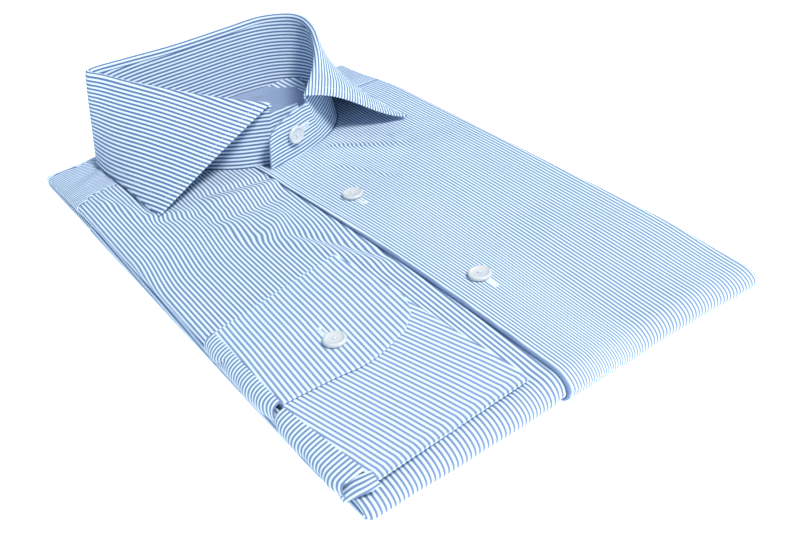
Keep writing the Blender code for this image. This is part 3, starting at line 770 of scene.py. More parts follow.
@dataclass
class FrontPanel:
    """A front: down the top of the bundle, round the hem fold and back underneath."""

    side: Side
    name: str
    node: str
    creases: Sequence[Crease]
    first_columns: Sequence[float]
    lean_inner: float
    lean_outer: float
    edge_x: float = -15.6 * MM
    edge_y: float = 60.6 * MM
    edge_drift: float = 0.025
    edge_bow: float = 3.0 * MM
    bow_length: float = 235 * MM
    overlap: float = 16 * MM
    lift: float = 1.5 * MM
    lift_fade: float = 40 * MM
    fold_radius: float = 0.62 * MM
    fold_radius_top: float = 0.4 * MM
    fold_width: float = 24 * MM
    gap_below: float = 0.05 * MM
    plain_edge: float = 1.2 * MM
    beside_cuff: float = 0.17
    pitch: float = STRIPE_PITCH
    tuck: float = 4 * MM
    step: float = 1.7 * MM
    lean_width: float = 45 * MM
    tuck_depth: float = 0.65 * MM
    still_width: float = 9 * MM
    cut: tuple[float, float] = (0.150, 0.545)

    def front_edge_x(self, path_y: float) -> float:
        """Where the left front's folded edge lies, drifting and bowed, by distance down the cloth."""
        down = self.edge_y - path_y
        bow = self.edge_bow * math.sin(math.pi * min(max(down / self.bow_length, 0.0), 1.0))
        return self.edge_x + down * self.edge_drift + bow

    def inner_x(self, path_y: float) -> float:
        """Where this panel's inner edge lies, by distance down the cloth."""
        if self.side is Side.LEFT:
            return self.front_edge_x(path_y)
        return self.edge_x + (self.edge_y - path_y) * self.edge_drift + self.overlap

    def off_surface(self, x: np.ndarray, path_y: float, upper: float) -> np.ndarray:
        """Depth below the bundle's face where the fronts overlap; negative above it."""
        past = x - self.front_edge_x(path_y)
        if self.side is Side.LEFT:
            lower = smooth((55 * MM - path_y) / (40 * MM))
            open_part = smooth((-30 * MM - path_y) / (35 * MM)) * smooth((path_y + 160 * MM) / (20 * MM))
            lift = self.lift * mix(0.6, 1.0, lower)
            lift = lift + self.gap_below * open_part * (1 - smooth(past / (12 * MM)))
            return -lift * (1 - smooth((past - self.overlap) / self.lift_fade)) * upper
        return self.lift * smooth((past + 6 * MM) / (4 * MM)) * (1 - upper)

    def profile(self, path_y: float) -> tuple[np.ndarray, np.ndarray, np.ndarray]:
        """The panel's section across the bundle.

        Args:
            path_y: Distance down the cloth, as the Y that it would have unfolded.

        Returns:
            The x, the depth below the upper face and the place across the stripes of each column.
        """
        sign = self.side.value
        inner, centre = self.inner_x(path_y), FORM.roll_centre(self.side)
        first = self.inner_x(self.edge_y)
        kept = [(x * MM - first) / (centre - first) for x in self.first_columns]
        shares = refine([0.0] + kept + [1.0], self.step / abs(centre - first))
        x = mix(inner, centre, shares)
        hold = self.plain_edge * smooth((20 * MM - path_y) / (70 * MM))
        depth, across = np.zeros_like(x), x - inner
        if self.side is Side.RIGHT:
            wider = self.beside_cuff * smooth((-5 * MM - path_y) / (35 * MM))
            across = across - wider * np.maximum(across, -25 * MM)
        if self.side is Side.LEFT:
            across = np.maximum(across - hold, 0)
            turn = np.linspace(0, math.pi / 2, 5)
            radius = mix(self.fold_radius_top, self.fold_radius, smooth((45 * MM - path_y) / (90 * MM)))
            bent = x + radius * (1 - shares) ** 8
            arc_x = inner + radius - radius * np.sin(turn[1:])
            arc_depth = radius * (1 - np.cos(turn[1:]))
            below_x = inner + radius - radius * np.cos(turn[1:])
            below_depth = radius + radius * np.sin(turn[1:])
            back = np.linspace(inner + radius, inner + self.fold_width, 8)[1:]
            x = np.concatenate([back[::-1], below_x[::-1], arc_x[::-1], bent])
            flat_back = np.full(len(back), 2 * radius)
            depth = np.concatenate([flat_back, below_depth[::-1], arc_depth[::-1], depth])
            held = np.zeros(len(below_x) + len(arc_x))
            across = np.concatenate([inner - back[::-1], held, across])
        angle = np.linspace(0, math.pi, 13)[1:]
        roll = FORM.roll_radius
        roll_x = centre + sign * roll * np.sin(angle)
        roll_depth = roll * (1 - np.cos(angle))
        x = np.concatenate([x, roll_x, [centre - sign * FORM.roll_return]])
        depth = np.concatenate([depth, roll_depth, [2 * roll]])
        far = across[-1] + sign * roll * angle
        across = np.concatenate([across, far, [far[-1] + sign * FORM.roll_return]])
        return x, depth, across

    def lean(self, x: np.ndarray, path_y: float) -> np.ndarray:
        """How far the stripes have drifted sideways by a distance down the cloth."""
        share = smooth(np.abs(x - self.inner_x(path_y)) / self.lean_width)
        return mix(self.lean_inner, self.lean_outer, share) * (path_y - self.edge_y)

    def grid(self) -> ClothGrid:
        """The panel's outer face."""
        top_rows, turn_rows, under_rows = 150, 16, 40
        xs, _, _ = self.profile(self.edge_y)
        tops = np.array([FORM.front_top_y(float(x), self.tuck) for x in xs])
        points, cloth = [], []

        def add_row(x: np.ndarray, y: np.ndarray, z: np.ndarray, across: np.ndarray,
                    path: np.ndarray) -> None:
            """Keeps one row of points with its place in the cloth."""
            points.append(np.stack([x, y, z], axis=1))
            cloth.append(np.stack([across, np.broadcast_to(path, x.shape)], axis=1))

        for i in range(top_rows):
            down = i / top_rows
            path_y = mix(self.edge_y, FORM.turn_y, down)
            x, depth, across = self.profile(path_y)
            y = mix(tops, FORM.hem_fold_y + FORM.hem_reach, down)
            height, sway = relief(self.creases, x, y)
            fade = smooth(1 - depth / (2 * FORM.roll_radius)) * smooth((y - FORM.turn_y) / (12 * MM))
            tucked = self.tuck_depth * smooth((y - FORM.seam_y(x) + 0.8 * MM) / (1.2 * MM))
            z = FORM.top_height(x, y) - depth - self.off_surface(x, path_y, 1.0) - tucked
            still = smooth(np.abs(x - self.inner_x(path_y)) / self.still_width)
            across = across + self.lean(x, path_y) + sway * fade * still
            add_row(x, y, z + height * fade, across, y)
        for angle in np.linspace(0, math.pi, turn_rows + 1):
            path_y = FORM.turn_y - FORM.turn_radius * angle
            x, depth, across = self.profile(path_y)
            radius = FORM.turn_radius - depth - self.off_surface(x, path_y, (1 + math.cos(angle)) / 2)
            uneven = 0.35 * MM * np.sin(x / (13 * MM)) + 0.2 * MM * np.sin(x / (5.1 * MM) + 2)
            reach = FORM.hem_reach if angle < math.pi / 2 else FORM.turn_radius
            begin = FORM.hem_fold_y + reach
            y = begin - (reach / FORM.turn_radius * radius + uneven) * math.sin(angle)
            z = FORM.turn_radius + radius * math.cos(angle)
            add_row(x, y, z, across + self.lean(x, path_y), np.full_like(x, path_y))
        for i in range(1, under_rows + 1):
            y = mix(FORM.turn_y, FORM.under_hem_y, i / under_rows)
            path_y = FORM.turn_y - FORM.turn_radius * math.pi - (y - FORM.turn_y)
            x, depth, across = self.profile(path_y)
            z = depth + self.off_surface(x, path_y, 0.0)
            add_row(x, np.full_like(x, y), z, across + self.lean(x, path_y), np.full_like(x, path_y))
        facing = Facing.ALONG if self.side is Side.LEFT else Facing.AGAINST
        places = np.array(cloth)
        places[..., 0] = places[..., 0] * STRIPE_PITCH / self.pitch + EDGE_TONE
        return ClothGrid(FORM.pinched(np.array(points)), places, SHIRTING, facing)

    def build(self, finishes: Finishes) -> bpy.types.Object:
        """Makes the panel."""
        piece = cloth_piece(self.name, "shirt_cloth", [self.node], finishes.shirting, self.grid())
        return piece


@dataclass
class Yoke:
    """The yoke: from the front seams over the shoulder fold and a short way underneath."""

    name: str = "yoke_shell"
    node: str = "yoke"
    hem_space: float = 4 * MM
    least_run: float = 1.5 * MM
    roll_share: float = 0.45
    stripes: float = 2.25 * MM
    bend_x: float = -97 * MM
    side_slope: float = 0.42
    neck_curve: float = 0.035
    step: float = 1.9 * MM
    top_rows: int = 30
    under_rows: int = 24
    creases: Sequence[Crease] = (
        Crease(-100, 133, -66, 150, 5, 0.9, 1.6),
        Crease(-98, 146, -70, 158, 4, -0.7, -1.2),
        Crease(70, 128, 98, 140, 6, 0.8, 1.4),
        Crease(66, 148, 96, 158, 5, -0.7, -1.0),
        Crease(-82, 127, -62, 131, 4, 0.5, 0.8),
    )

    def section(self, roll: float) -> tuple[np.ndarray, np.ndarray]:
        """The x and depth of each column right across, with both side rolls of a radius."""
        left, right = FORM.roll_centre(Side.LEFT), FORM.roll_centre(Side.RIGHT)
        kept = [right, -0.066, -0.0623, -0.0611, -0.059, 0.0554, 0.0594, 0.061, 0.0625, 0.066, left]
        x = refine(kept, self.step)
        angle = np.linspace(0, math.pi, 11)[1:]
        out_x, out_depth = roll * np.sin(angle), roll * (1 - np.cos(angle))
        return (np.concatenate([(right - out_x)[::-1], x, left + out_x]),
                np.concatenate([out_depth[::-1], np.zeros_like(x), out_depth]))

    def bend(self, x: np.ndarray) -> np.ndarray:
        """How far the stripes arch on the right shoulder: down to the side and to the neck."""
        past = np.clip(x - self.bend_x, -15 * MM, 20 * MM)
        arch = np.where(past < 0, -self.side_slope * past, self.neck_curve * past**2 / MM)
        return arch * smooth((-x - 45 * MM) / (15 * MM))

    def grid(self) -> ClothGrid:
        """The yoke's outer face."""
        thin = self.roll_share * FORM.shoulder_side / 2
        xs, _ = self.section(FORM.roll_radius)
        big = FORM.top_height(xs, np.full_like(xs, FORM.shoulder_fold_y)) / 2
        ends = FORM.shoulder_fold_y - big
        starts = []
        for x, end in zip(xs, ends):
            span, seam = FORM.neck_span(float(x)), float(FORM.seam_y(x))
            start = max(span[1], seam) if span else seam
            starts.append(min(start, end - self.least_run))
        starts = np.array(starts)
        rows, path = [], []
        for share in np.linspace(0, 1, self.top_rows + 1)[:-1]:
            x, depth = self.section(mix(FORM.roll_radius, thin, share))
            y = mix(starts, ends, share)
            height, sway = relief(self.creases, x, y)
            fade = smooth(1 - depth / FORM.roll_radius) * smooth((1 - share) / 0.2)
            z = FORM.top_height(x, y) - depth + height * fade
            rows.append(np.stack([x, y, z], axis=1))
            path.append(y + sway * fade + self.bend(x) * (1 - 0.3 * share))
        turn = np.linspace(0, math.pi, 15)
        x, depth = self.section(thin)
        for angle in turn:
            y = ends + (big - depth) * math.sin(angle)
            z = big + (big - depth) * math.cos(angle)
            rows.append(np.stack([x, y, z], axis=1))
            path.append(ends + big * angle)
        for share in np.linspace(0, 1, self.under_rows + 1)[1:]:
            y = mix(ends, FORM.under_hem_y + self.hem_space, share)
            rows.append(np.stack([x, y, depth], axis=1))
            path.append(ends + big * math.pi + (ends - y))
        points = np.array(rows)
        cloth = np.stack([np.array(path) * STRIPE_PITCH / self.stripes, points[..., 0]], axis=2)
        return ClothGrid(points, cloth, SHIRTING, Facing.AGAINST)

    def build(self, finishes: Finishes) -> bpy.types.Object:
        """Makes the yoke."""
        piece = cloth_piece(self.name, "shirt_cloth", [self.node], finishes.shirting, self.grid())
        return piece


@dataclass
class Collar:
    """The collar: its stand, or band, and the leaf that turns down over it."""

    wall: float = 1.2 * MM
    fold_radius: float = 2.0 * MM
    fold_leg: float = 2.5 * MM
    leaf_clearance: float = 0.7 * MM
    band_depth: float = 1.0 * MM
    leaf_overhang: float = 4 * MM
    seam_gap: float = 0.02 * MM
    steps: int = 9
    grain_turn: float = 0.24
    grain_reach: float = 105 * MM
    near_fan: float = 0.12
    far_fan: float = -0.16
    fan_from: float = 110 * MM
    leaf_depth: float = 75 * MM
    point_curl: float = 3.2
    leaf_pitch: float = 2.16 * MM
    band_pitch: float = 2.10 * MM
    apex_column: int = 7
    flat_column: int = 13
    line_before: float = 0.09

    def feet(self, rows: np.ndarray) -> np.ndarray:
        """Foot of the band's outer face at each station."""
        x, y = rows[:, 0] * MM, rows[:, 1] * MM
        return np.stack([x, y, FORM.top_height(x, y) - self.band_depth], axis=1)

    def edges(self, rows: np.ndarray) -> np.ndarray:
        """Outer edge of the leaf at each station."""
        x, y = rows[:, 5] * MM, rows[:, 6] * MM
        under = FORM.top_height(x, np.minimum(y, FORM.shoulder_fold_y - self.leaf_overhang))
        z = under + self.wall + self.leaf_clearance + rows[:, 7] * MM
        return np.stack([x, y, z], axis=1)

    def folds(self, rows: np.ndarray) -> tuple[np.ndarray, ...]:
        """The round fold at the ridge of each station.

        Args:
            rows: Stations as rows of numbers.

        Returns:
            The fold's centre, the direction out of the ring, the direction down the band, and the
            angles at which the fold starts and ends.
        """
        ridge = rows[:, 2:5] * MM
        along = np.gradient(ridge, axis=0)
        out = unit(np.stack([-along[:, 1], along[:, 0], np.zeros(len(rows))], axis=1))
        centre = ridge - UP * self.fold_radius
        down = unit(self.feet(rows) - ridge)
        leave = self.edges(rows) - ridge
        rising = np.arctan2(-down[:, 2], -(down * out).sum(1))
        leaving = np.arctan2(leave[:, 2], (leave * out).sum(1))
        return centre, out, down, rising + math.pi / 2, leaving + math.pi / 2

    @staticmethod
    def on_fold(centre: np.ndarray, out: np.ndarray, angle: np.ndarray, radius: float) -> np.ndarray:
        """Points on a fold at given angles and a radius about its centre."""
        around = out * np.cos(angle)[:, None] + UP * np.sin(angle)[:, None]
        return centre + around * radius

    def off_grain(self, along: np.ndarray) -> np.ndarray:
        """How far the fold has drifted across the stripes, by distance from the leaf's front end."""
        left = np.clip(self.grain_reach - along, 0, self.grain_reach)
        drift = left**2 / (2 * self.grain_reach)
        return -self.grain_turn * (drift + np.maximum(-along, 0))

    def across_leaf(self, points: np.ndarray, fan: float) -> np.ndarray:
        """Place across the stripes of each point on half a leaf.

        Args:
            points: Rows of points, from the leaf's front end to the middle of the back.
            fan: How fast the stripes spread towards the leaf's point.

        Returns:
            The distance from the fold's line, with the stripes' drift off it.
        """
        middle = self.apex_column
        apex = points[:, middle]
        line = np.vstack([apex[0] + unit(apex[0] - apex[6]) * self.line_before, apex])
        start, run = line[:-1], np.diff(line, axis=0)
        at = np.concatenate([[-self.line_before], steps_along(apex)])
        flat = points.reshape(-1, 3)
        best, place = np.full(len(flat), np.inf), np.zeros(len(flat))
        for k, (corner, step) in enumerate(zip(start, run)):
            t = np.clip(((flat - corner) @ step) / (step @ step), 0, 1)
            gap = np.linalg.norm(flat - corner - t[:, None] * step, axis=1)
            nearer = gap < best
            best = np.where(nearer, gap, best)
            place = np.where(nearer, mix(at[k], at[k + 1], t), place)
        past = (place - self.fan_from) / self.leaf_depth
        fanned = fan * best * np.where(past > 0, past * smooth(1 - past / 0.9), past)
        across = (best + self.off_grain(place) + fanned).reshape(points.shape[:2])
        hops = np.linalg.norm(np.diff(points[:, :middle + 1], axis=1), axis=2)
        inside = -np.cumsum(hops[:, ::-1], axis=1)[:, ::-1]
        across[:, :middle] = inside + self.off_grain(at[1:])[:, None]
        return across

    def band_grid(self) -> ClothGrid:
        """The stand's outer face, from its right end round to its left end."""
        right = spline(RIGHT_STAND + LEAF_STATIONS[:1], self.steps)[:-1]
        middle = spline(LEAF_STATIONS, self.steps)
        left = spline(LEAF_STATIONS[-1:] + LEFT_STAND, self.steps)[1:]
        centre, out, down, start, _ = self.folds(middle)
        top = self.on_fold(centre, out, start, self.fold_radius - self.wall)
        top = top + down * (self.fold_leg + self.seam_gap)
        for end in (0, -1):
            top[end] = top[end] + down[end] * 1.3 * MM
        stand_in = smooth(1 - (len(right) - np.arange(len(right))) / (2 * self.steps))[:, None]
        stand_out = smooth(1 - np.arange(1, len(left) + 1) / (2 * self.steps))[:, None]
        near = right[:, 2:5] * MM + (top[0] - middle[0, 2:5] * MM) * stand_in
        far = left[:, 2:5] * MM + (top[-1] - middle[-1, 2:5] * MM) * stand_out
        tops = np.vstack([near, top, far])
        feet = self.feet(np.vstack([right, middle, left]))
        shares = np.linspace(0, 1, 26)
        points = feet[:, None] + (tops - feet)[:, None] * shares[None, :, None]
        across = np.linalg.norm(tops - feet, axis=1)[:, None] * shares[None, :]
        along = steps_along(feet)[:, None] + np.zeros_like(across)
        to_end = along[-1, 0] - along
        across = across + 0.19 * np.maximum(18 * MM - to_end, 0) ** 2 / (36 * MM)
        across = across * STRIPE_PITCH / self.band_pitch
        cloth = np.stack([across, along], axis=2)
        return ClothGrid(points, cloth, self.wall, Facing.AGAINST, ("last column",), True)

    def leaf_grid(self) -> ClothGrid:
        """The leaf's outer face: a short inner leg, the round fold and the turned-down leaf."""
        rows = spline(LEAF_STATIONS, self.steps)
        centre, out, down, start, end = self.folds(rows)
        first = self.on_fold(centre, out, start, self.fold_radius)
        columns = [first + down * self.fold_leg, first + down * self.fold_leg / 2]
        for share in np.linspace(0, 1, 11):
            columns.append(self.on_fold(centre, out, mix(start, end, share), self.fold_radius))
        leaving, edge = columns[-1], self.edges(rows)
        side = np.stack([-out[:, 1], out[:, 0], np.zeros(len(rows))], axis=1)
        rise = unit(np.cross(edge - leaving, side))
        rise = rise * np.sign(rise[:, 2:3])
        at_point = smooth((np.arange(len(rows)) - len(rows) + 1) / (2 * self.steps) + 1)[:, None]
        for t in np.linspace(0, 1, 43)[1:]:
            curl = 1 + self.point_curl * at_point * (1 - 2 * t)
            arch = 4 * t * (1 - t) * curl * rows[:, 8:9] * MM
            columns.append(mix(leaving, edge, t) + rise * arch)
        points = np.stack(columns, axis=1)
        half = len(points) // 2
        near = self.across_leaf(points[:half], self.near_fan)
        far = self.across_leaf(points[:half - 1:-1], self.far_fan)[::-1]
        across = np.vstack([near, far]) * STRIPE_PITCH / self.leaf_pitch
        along = np.broadcast_to(steps_along(rows[:, 2:5] * MM)[:, None], across.shape)
        cloth = np.stack([across, along], axis=2)
        return ClothGrid(points, cloth, self.wall, Facing.ALONG, ("first column",))

    def build(self, finishes: Finishes) -> dict[str, ClothGrid]:
        """Makes the band and the leaf.

        Args:
            finishes: The shirt's materials.

        Returns:
            The two grids, for the stitching that lies on them.
        """
        grids = {"band": self.band_grid(), "leaf": self.leaf_grid()}
        piece = cloth_piece("collar_band_shell", "collar_cloth", ["collar_band"], finishes.collar,
                            grids["band"])
        piece = cloth_piece("collar_leaf_shell", "collar_cloth", ["collar_leaf"], finishes.collar,
                            grids["leaf"])
        return grids


@dataclass
class NeckInside:
    """What shows inside the collar ring: the inner yoke on the bias, and a plain bare place on it whose
    dark colour paints the shade inside the ring.
    """

    drop: float = 0.7 * MM
    inset: float = 2.4 * MM
    rise: float = 4.0 * MM
    side_rise: float = 4.5 * MM
    cove: float = 3.4 * MM
    cove_width: float = 5.0 * MM
    bare_from_y: float = 86 * MM
    half_width: float = 56 * MM
    spacing: float = 2.3 * MM
    wall: float = 0.35 * MM

    def columns(self) -> tuple[np.ndarray, np.ndarray, np.ndarray]:
        """The x, lowest y and highest y of the ring's inside."""
        xs = np.linspace(-self.half_width, self.half_width, 64)
        low, high = [], []
        for x in xs:
            span = FORM.neck_span(float(x)) or (110 * MM, 116 * MM)
            low.append(span[0] + self.inset)
            high.append(span[1] - self.inset)
        return xs, np.array(low), np.array(high)

    def height(self, x: np.ndarray, y: np.ndarray, back: np.ndarray) -> np.ndarray:
        """Height of the inner cloth, which swells to the back and turns up beside the band."""
        swell = self.rise * smooth((y - 108 * MM) / (40 * MM))
        swell = swell + self.side_rise * smooth((x - 34 * MM) / (20 * MM))
        turned_up = self.cove * smooth((y - back + self.cove_width) / self.cove_width) ** 2
        soft = 0.8 * MM * np.sin(x / (6 * MM) + y / (9 * MM)) * smooth((back - y) / (12 * MM))
        return FORM.top_height(x, y) - self.drop + swell + turned_up + soft

    def grid(self, low_cap: float, short: float, raised: float, half: float) -> ClothGrid:
        """A sheet inside the ring.

        Args:
            low_cap: The lowest Y that it may reach.
            short: How far it ends short of the ring's back.
            raised: How far it lies above the inner yoke.
            half: Half its width along X.

        Returns:
            The sheet's grid.
        """
        xs, low, high = self.columns()
        kept = np.abs(xs) < half
        xs, back = xs[kept], high[kept]
        low = np.maximum(low[kept], low_cap)
        wedge = short * (0.03 + 1.9 * smooth((xs - 35 * MM) / (21 * MM)))
        top = np.maximum(back - wedge, low + 0.5 * MM)
        y = mix(low[None, :], top[None, :], np.linspace(0, 1, 56)[:, None])
        x = np.broadcast_to(xs[None, :], y.shape)
        z = self.height(x, y, back[None, :]) + raised
        bias = (0.82 * x + 0.57 * z + 0.15 * y) * STRIPE_PITCH / self.spacing
        cloth = np.stack([bias, 0.57 * x + 0.82 * y], axis=2)
        return ClothGrid(np.stack([x, y, z], axis=2), cloth, self.wall, Facing.AGAINST)

    def build(self, finishes: Finishes) -> None:
        """Makes the inner yoke and the bare place."""
        everywhere = self.grid(-1.0, 0.0, 0.0, 1.0)
        piece = cloth_piece("yoke_inner", "shirt_cloth", [], finishes.shirting, everywhere)
        # The bare place: a plain sheet just above the inner yoke, darker to paint the shade inside the
        # ring.
        bare = self.grid(self.bare_from_y, 4.6 * MM, 0.45 * MM, 52 * MM)
        piece = cloth_piece("bare_neck_place_painted_shade", "shirt_cloth", [], finishes.bare_place_painted_shade, bare)


@dataclass
class Cuff:
    """The cuff: one strip in a flattened turn, its buttonhole end lying over its button end."""

    left_x: float = -103.5 * MM
    left_slant: float = 6.5 * MM
    slant_from: float = 0.52
    right_x_top: float = -30.8 * MM
    right_x_bottom: float = -20.5 * MM
    top_y_left: float = -52 * MM
    top_y_right: float = -37.3 * MM
    bottom_y_left: float = -171 * MM
    bottom_y_right: float = -166.5 * MM
    pitch: float = 1.6 * MM
    wall: float = 1.1 * MM
    button_end_at: float = 0.33
    step_up_before: float = 0.08
    fold_length: float = 4.5 * MM
    stripes: float = 2.18 * MM
    widening: float = 0.14
    width: float = 80 * MM
    fan: float = 0.225
    upper_lean: float = -0.075
    lean_from_y: float = -115 * MM
    end_sag: float = 0.7 * MM
    end_rows: int = 70
    reach_across: Sequence[float] = (0.0, 0.3, 0.5, 0.76, 0.88, 0.95, 1.0)
    reach_down: Sequence[float] = (0.521, 0.55, 0.575, 0.549, 0.508, 0.465, 0.397)

    def seam_x(self, down: np.ndarray) -> np.ndarray:
        """The cuff's seam with the sleeve, which slants in below the slit."""
        past = np.maximum(down - self.slant_from, 0) / (1 - self.slant_from)
        return self.left_x + self.left_slant * past

    def place(self, across: np.ndarray, down: np.ndarray) -> tuple[np.ndarray, np.ndarray]:
        """X and Y on the flattened cuff by its shares across and down."""
        left = mix(self.top_y_left, self.bottom_y_left, down)
        right = mix(self.top_y_right, self.bottom_y_right, down)
        right_x = mix(self.right_x_top, self.right_x_bottom, down)
        return mix(self.seam_x(down), right_x, across), mix(left, right, across)

    def reach(self, across: np.ndarray) -> np.ndarray:
        """How far down the cuff its buttonhole end reaches."""
        fine = spline(list(zip(self.reach_across, self.reach_down)), 8)
        return np.interp(across, fine[:, 0], fine[:, 1])

    @property
    def base(self) -> float:
        """Height of the middle of the cuff's lowest layer."""
        return FORM.thickness + GAP + 0.6 * MM

    def grid(self) -> ClothGrid:
        """The cuff's outer face."""
        across = np.concatenate([np.linspace(0, 0.7, 36), np.linspace(0.7, 1, 28)[1:]])
        level_1, level_2 = self.base + self.pitch, self.base + 2 * self.pitch
        bend = self.pitch / 2
        length = self.top_y_left - self.bottom_y_left
        last = 1 - self.fold_length / length
        rows, across_stripes = [], []

        def add_row(down: np.ndarray | float, shift: float, z: np.ndarray | float,
                    lean: float) -> None:
            """Keeps a row of middle points, with its place across the stripes."""
            x, y = self.place(across, down + 0 * across)
            rows.append(np.stack([x, y + shift, z + 0 * x], axis=1))
            spread = x - self.widening * (x - self.left_x) ** 2 / (2 * self.width)
            across_stripes.append(spread + lean * (y - self.lean_from_y))

        fan, upper_lean = self.fan, self.upper_lean
        for down in np.linspace(self.button_end_at, last, 44):
            sag = self.end_sag * smooth((down - last + 0.12) / 0.12)
            add_row(down, 0.0, level_1 - sag, fan)
        half = (level_1 - self.end_sag - self.base) / 2
        for angle in np.linspace(0, math.pi, 13)[1:-1]:
            shift = -self.fold_length * math.sin(angle)
            add_row(last, shift, self.base + half + half * math.cos(angle), fan)
        for down in np.linspace(last, 0, 30):
            add_row(down, 0.0, self.base, mix(upper_lean, fan, down / last))
        for angle in np.linspace(0, math.pi, 9)[1:-1]:
            add_row(0.0, bend * math.sin(angle), self.base + bend - bend * math.cos(angle), upper_lean)
        reach = self.reach(across)
        for share in np.linspace(0, 1, self.end_rows):
            down = reach * share
            step = smooth(down / (self.button_end_at - self.step_up_before))
            add_row(down, 0.0, mix(level_1, level_2, step), upper_lean)
        middle = np.array(rows)
        outer = middle + grid_normals(middle) * self.wall / 2
        along = np.broadcast_to(middle[..., 1], middle.shape[:2])
        places = np.array(across_stripes) * STRIPE_PITCH / self.stripes
        cloth = np.stack([places, along], axis=2)
        return ClothGrid(outer, cloth, self.wall, Facing.AGAINST)

    def build(self, finishes: Finishes) -> ClothGrid:
        """Makes the cuff and returns its grid for the stitching."""
        grid = self.grid()
        piece = cloth_piece("cuff_shell", "cuff_cloth", ["cuff_right"], finishes.cuff, grid)
        return grid


@dataclass
class Sleeve:
    """The sleeve's last stretch: from the cuff's seam round the side and in between the layers."""

    cuff: Cuff
    top_y: float = -53 * MM
    slit_y: float = -113.8 * MM
    slit_width: float = 2.4 * MM
    bottom_y: float = -164 * MM
    bottom_z: float = 6.3 * MM
    bulge: float = 5.1 * MM
    in_slot: float = 2.5 * MM
    tuck_fullness: float = 1.3 * MM
    pleat: float = 1.1 * MM
    pleat_y: float = -66 * MM
    pleat_width: float = 1.5 * MM
    pleat_slant: float = 9 * MM
    strip_step: float = 1.3 * MM
    wall: float = 0.6 * MM
    stripes: float = 2.18 * MM

    def strip(self, y_from: float, y_to: float, top_z: float, lean: float) -> ClothGrid:
        """One strip of the sleeve between two Y limits, from the height of its seam."""
        centre_x = FORM.roll_centre(Side.RIGHT)
        rows, path = [], []
        for y in refine([y_from, y_to], self.strip_step):
            down = (self.cuff.top_y_left - y) / (self.cuff.top_y_left - self.cuff.bottom_y_left)
            seam = float(self.cuff.seam_x(np.array(down))) - 0.2 * MM
            pucker = 0.35 * MM * math.sin(y / (5.3 * MM)) + 0.2 * MM * math.sin(y / (2.1 * MM) + 1)
            half = (top_z - self.bottom_z) / 2
            angle = np.linspace(0, math.pi, 25)
            share = (y - y_from) / (y_to - y_from)
            fuller = 0.5 * MM * math.sin(math.pi * share) - 0.7 * MM * smooth((0.12 - share) / 0.12)
            fuller = fuller - 1.2 * MM * smooth((share - 0.84) / 0.16)
            off_pleat = y - self.pleat_y - self.pleat_slant * (angle - 1.6)
            crease = self.pleat * np.exp(-((off_pleat / self.pleat_width) ** 2))
            reach = self.bulge + fuller + pucker * np.sin(angle) - crease
            x = mix(seam, centre_x, smooth(angle / 0.9)) - reach * np.sin(angle)
            z = self.bottom_z + half + half * np.cos(angle)
            x = np.append(x, centre_x + self.in_slot)
            z = np.append(z, self.bottom_z)
            rows.append(np.stack([x, np.full_like(x, y), z], axis=1))
            around = steps_along(rows[-1])
            across = (y + lean * around) * STRIPE_PITCH / self.stripes
            path.append(np.stack([across, around], axis=1))
        return ClothGrid(np.array(rows), np.array(path), self.wall, Facing.AGAINST)

    def tucked_end(self) -> ClothGrid:
        """The sleeve's end, turned in over the bottom of the lower strip as a small folded layer."""
        upper = spline([(-107.0, -158.4, 5.6), (-106.9, -158.6, 8.2), (-105.0, -160.4, 11.2),
                        (-102.6, -162.3, 13.6), (-99.9, -164.7, 15.2), (-96.4, -166.6, 15.9)], 6) * MM
        lower = spline([(-106.4, -161.6, 2.2), (-107.2, -163.6, 5.4), (-106.0, -166.1, 8.0),
                        (-103.8, -168.8, 10.6), (-100.6, -171.2, 12.6), (-96.6, -172.6, 14.2)], 6) * MM
        shares = np.linspace(0, 1, 16)[:, None, None]
        points = mix(upper[None], lower[None], shares)
        arch = self.tuck_fullness * np.sin(math.pi * shares) ** 0.8
        points = points + arch * unit(np.array([-0.55, -0.5, 0.6]))
        down = np.broadcast_to(shares[..., 0] * 9.0 * MM, points.shape[:2])
        along = np.broadcast_to(steps_along(upper)[None, :], points.shape[:2])
        cloth = np.stack([(down + 0.1 * along) * STRIPE_PITCH / self.stripes, along], axis=2)
        return ClothGrid(points, cloth, 0.5 * MM, Facing.AGAINST)

    def slit_lining(self) -> ClothGrid:
        """The cloth a little way inside the slit."""
        rows = []
        for y in np.linspace(self.slit_y + 4 * MM, self.slit_y - 4 * MM, 12):
            angle = np.linspace(0.5, 2.6, 14)
            x = FORM.roll_centre(Side.RIGHT) + 1.2 * MM - (self.bulge - 1.3 * MM) * np.sin(angle)
            z = self.bottom_z + 4.7 * MM + 3.4 * MM * np.cos(angle)
            rows.append(np.stack([x, np.full_like(x, y), z], axis=1))
        points = np.array(rows)
        cloth = np.stack([points[..., 2] * 1.3, points[..., 1]], axis=2)
        return ClothGrid(points, cloth, 0.4 * MM, Facing.AGAINST)

    def build(self, finishes: Finishes) -> bpy.types.Object:
        """Makes the two strips beside the slit as one piece."""
        top = self.cuff.base + 2 * self.cuff.pitch + 0.3 * MM
        low_top = self.cuff.base + self.cuff.pitch + 0.3 * MM
        mesh = ClothMesh("sleeve_shell")
        upper_end = self.slit_y + self.slit_width / 2
        lower_start = self.slit_y - self.slit_width / 2
        mesh.add(self.strip(self.top_y, upper_end, top, 0.10), (0.0, 0.4))
        mesh.add(self.strip(lower_start, self.bottom_y, low_top, 0.12), (0.4, 0.8))
        mesh.add(self.tucked_end(), (0.8, 0.9))
        mesh.add(self.slit_lining(), (0.9, 1.0))
        piece = dress(mesh.build(finishes.shirting), "shirt_cloth", "sleeve_right")
        return piece


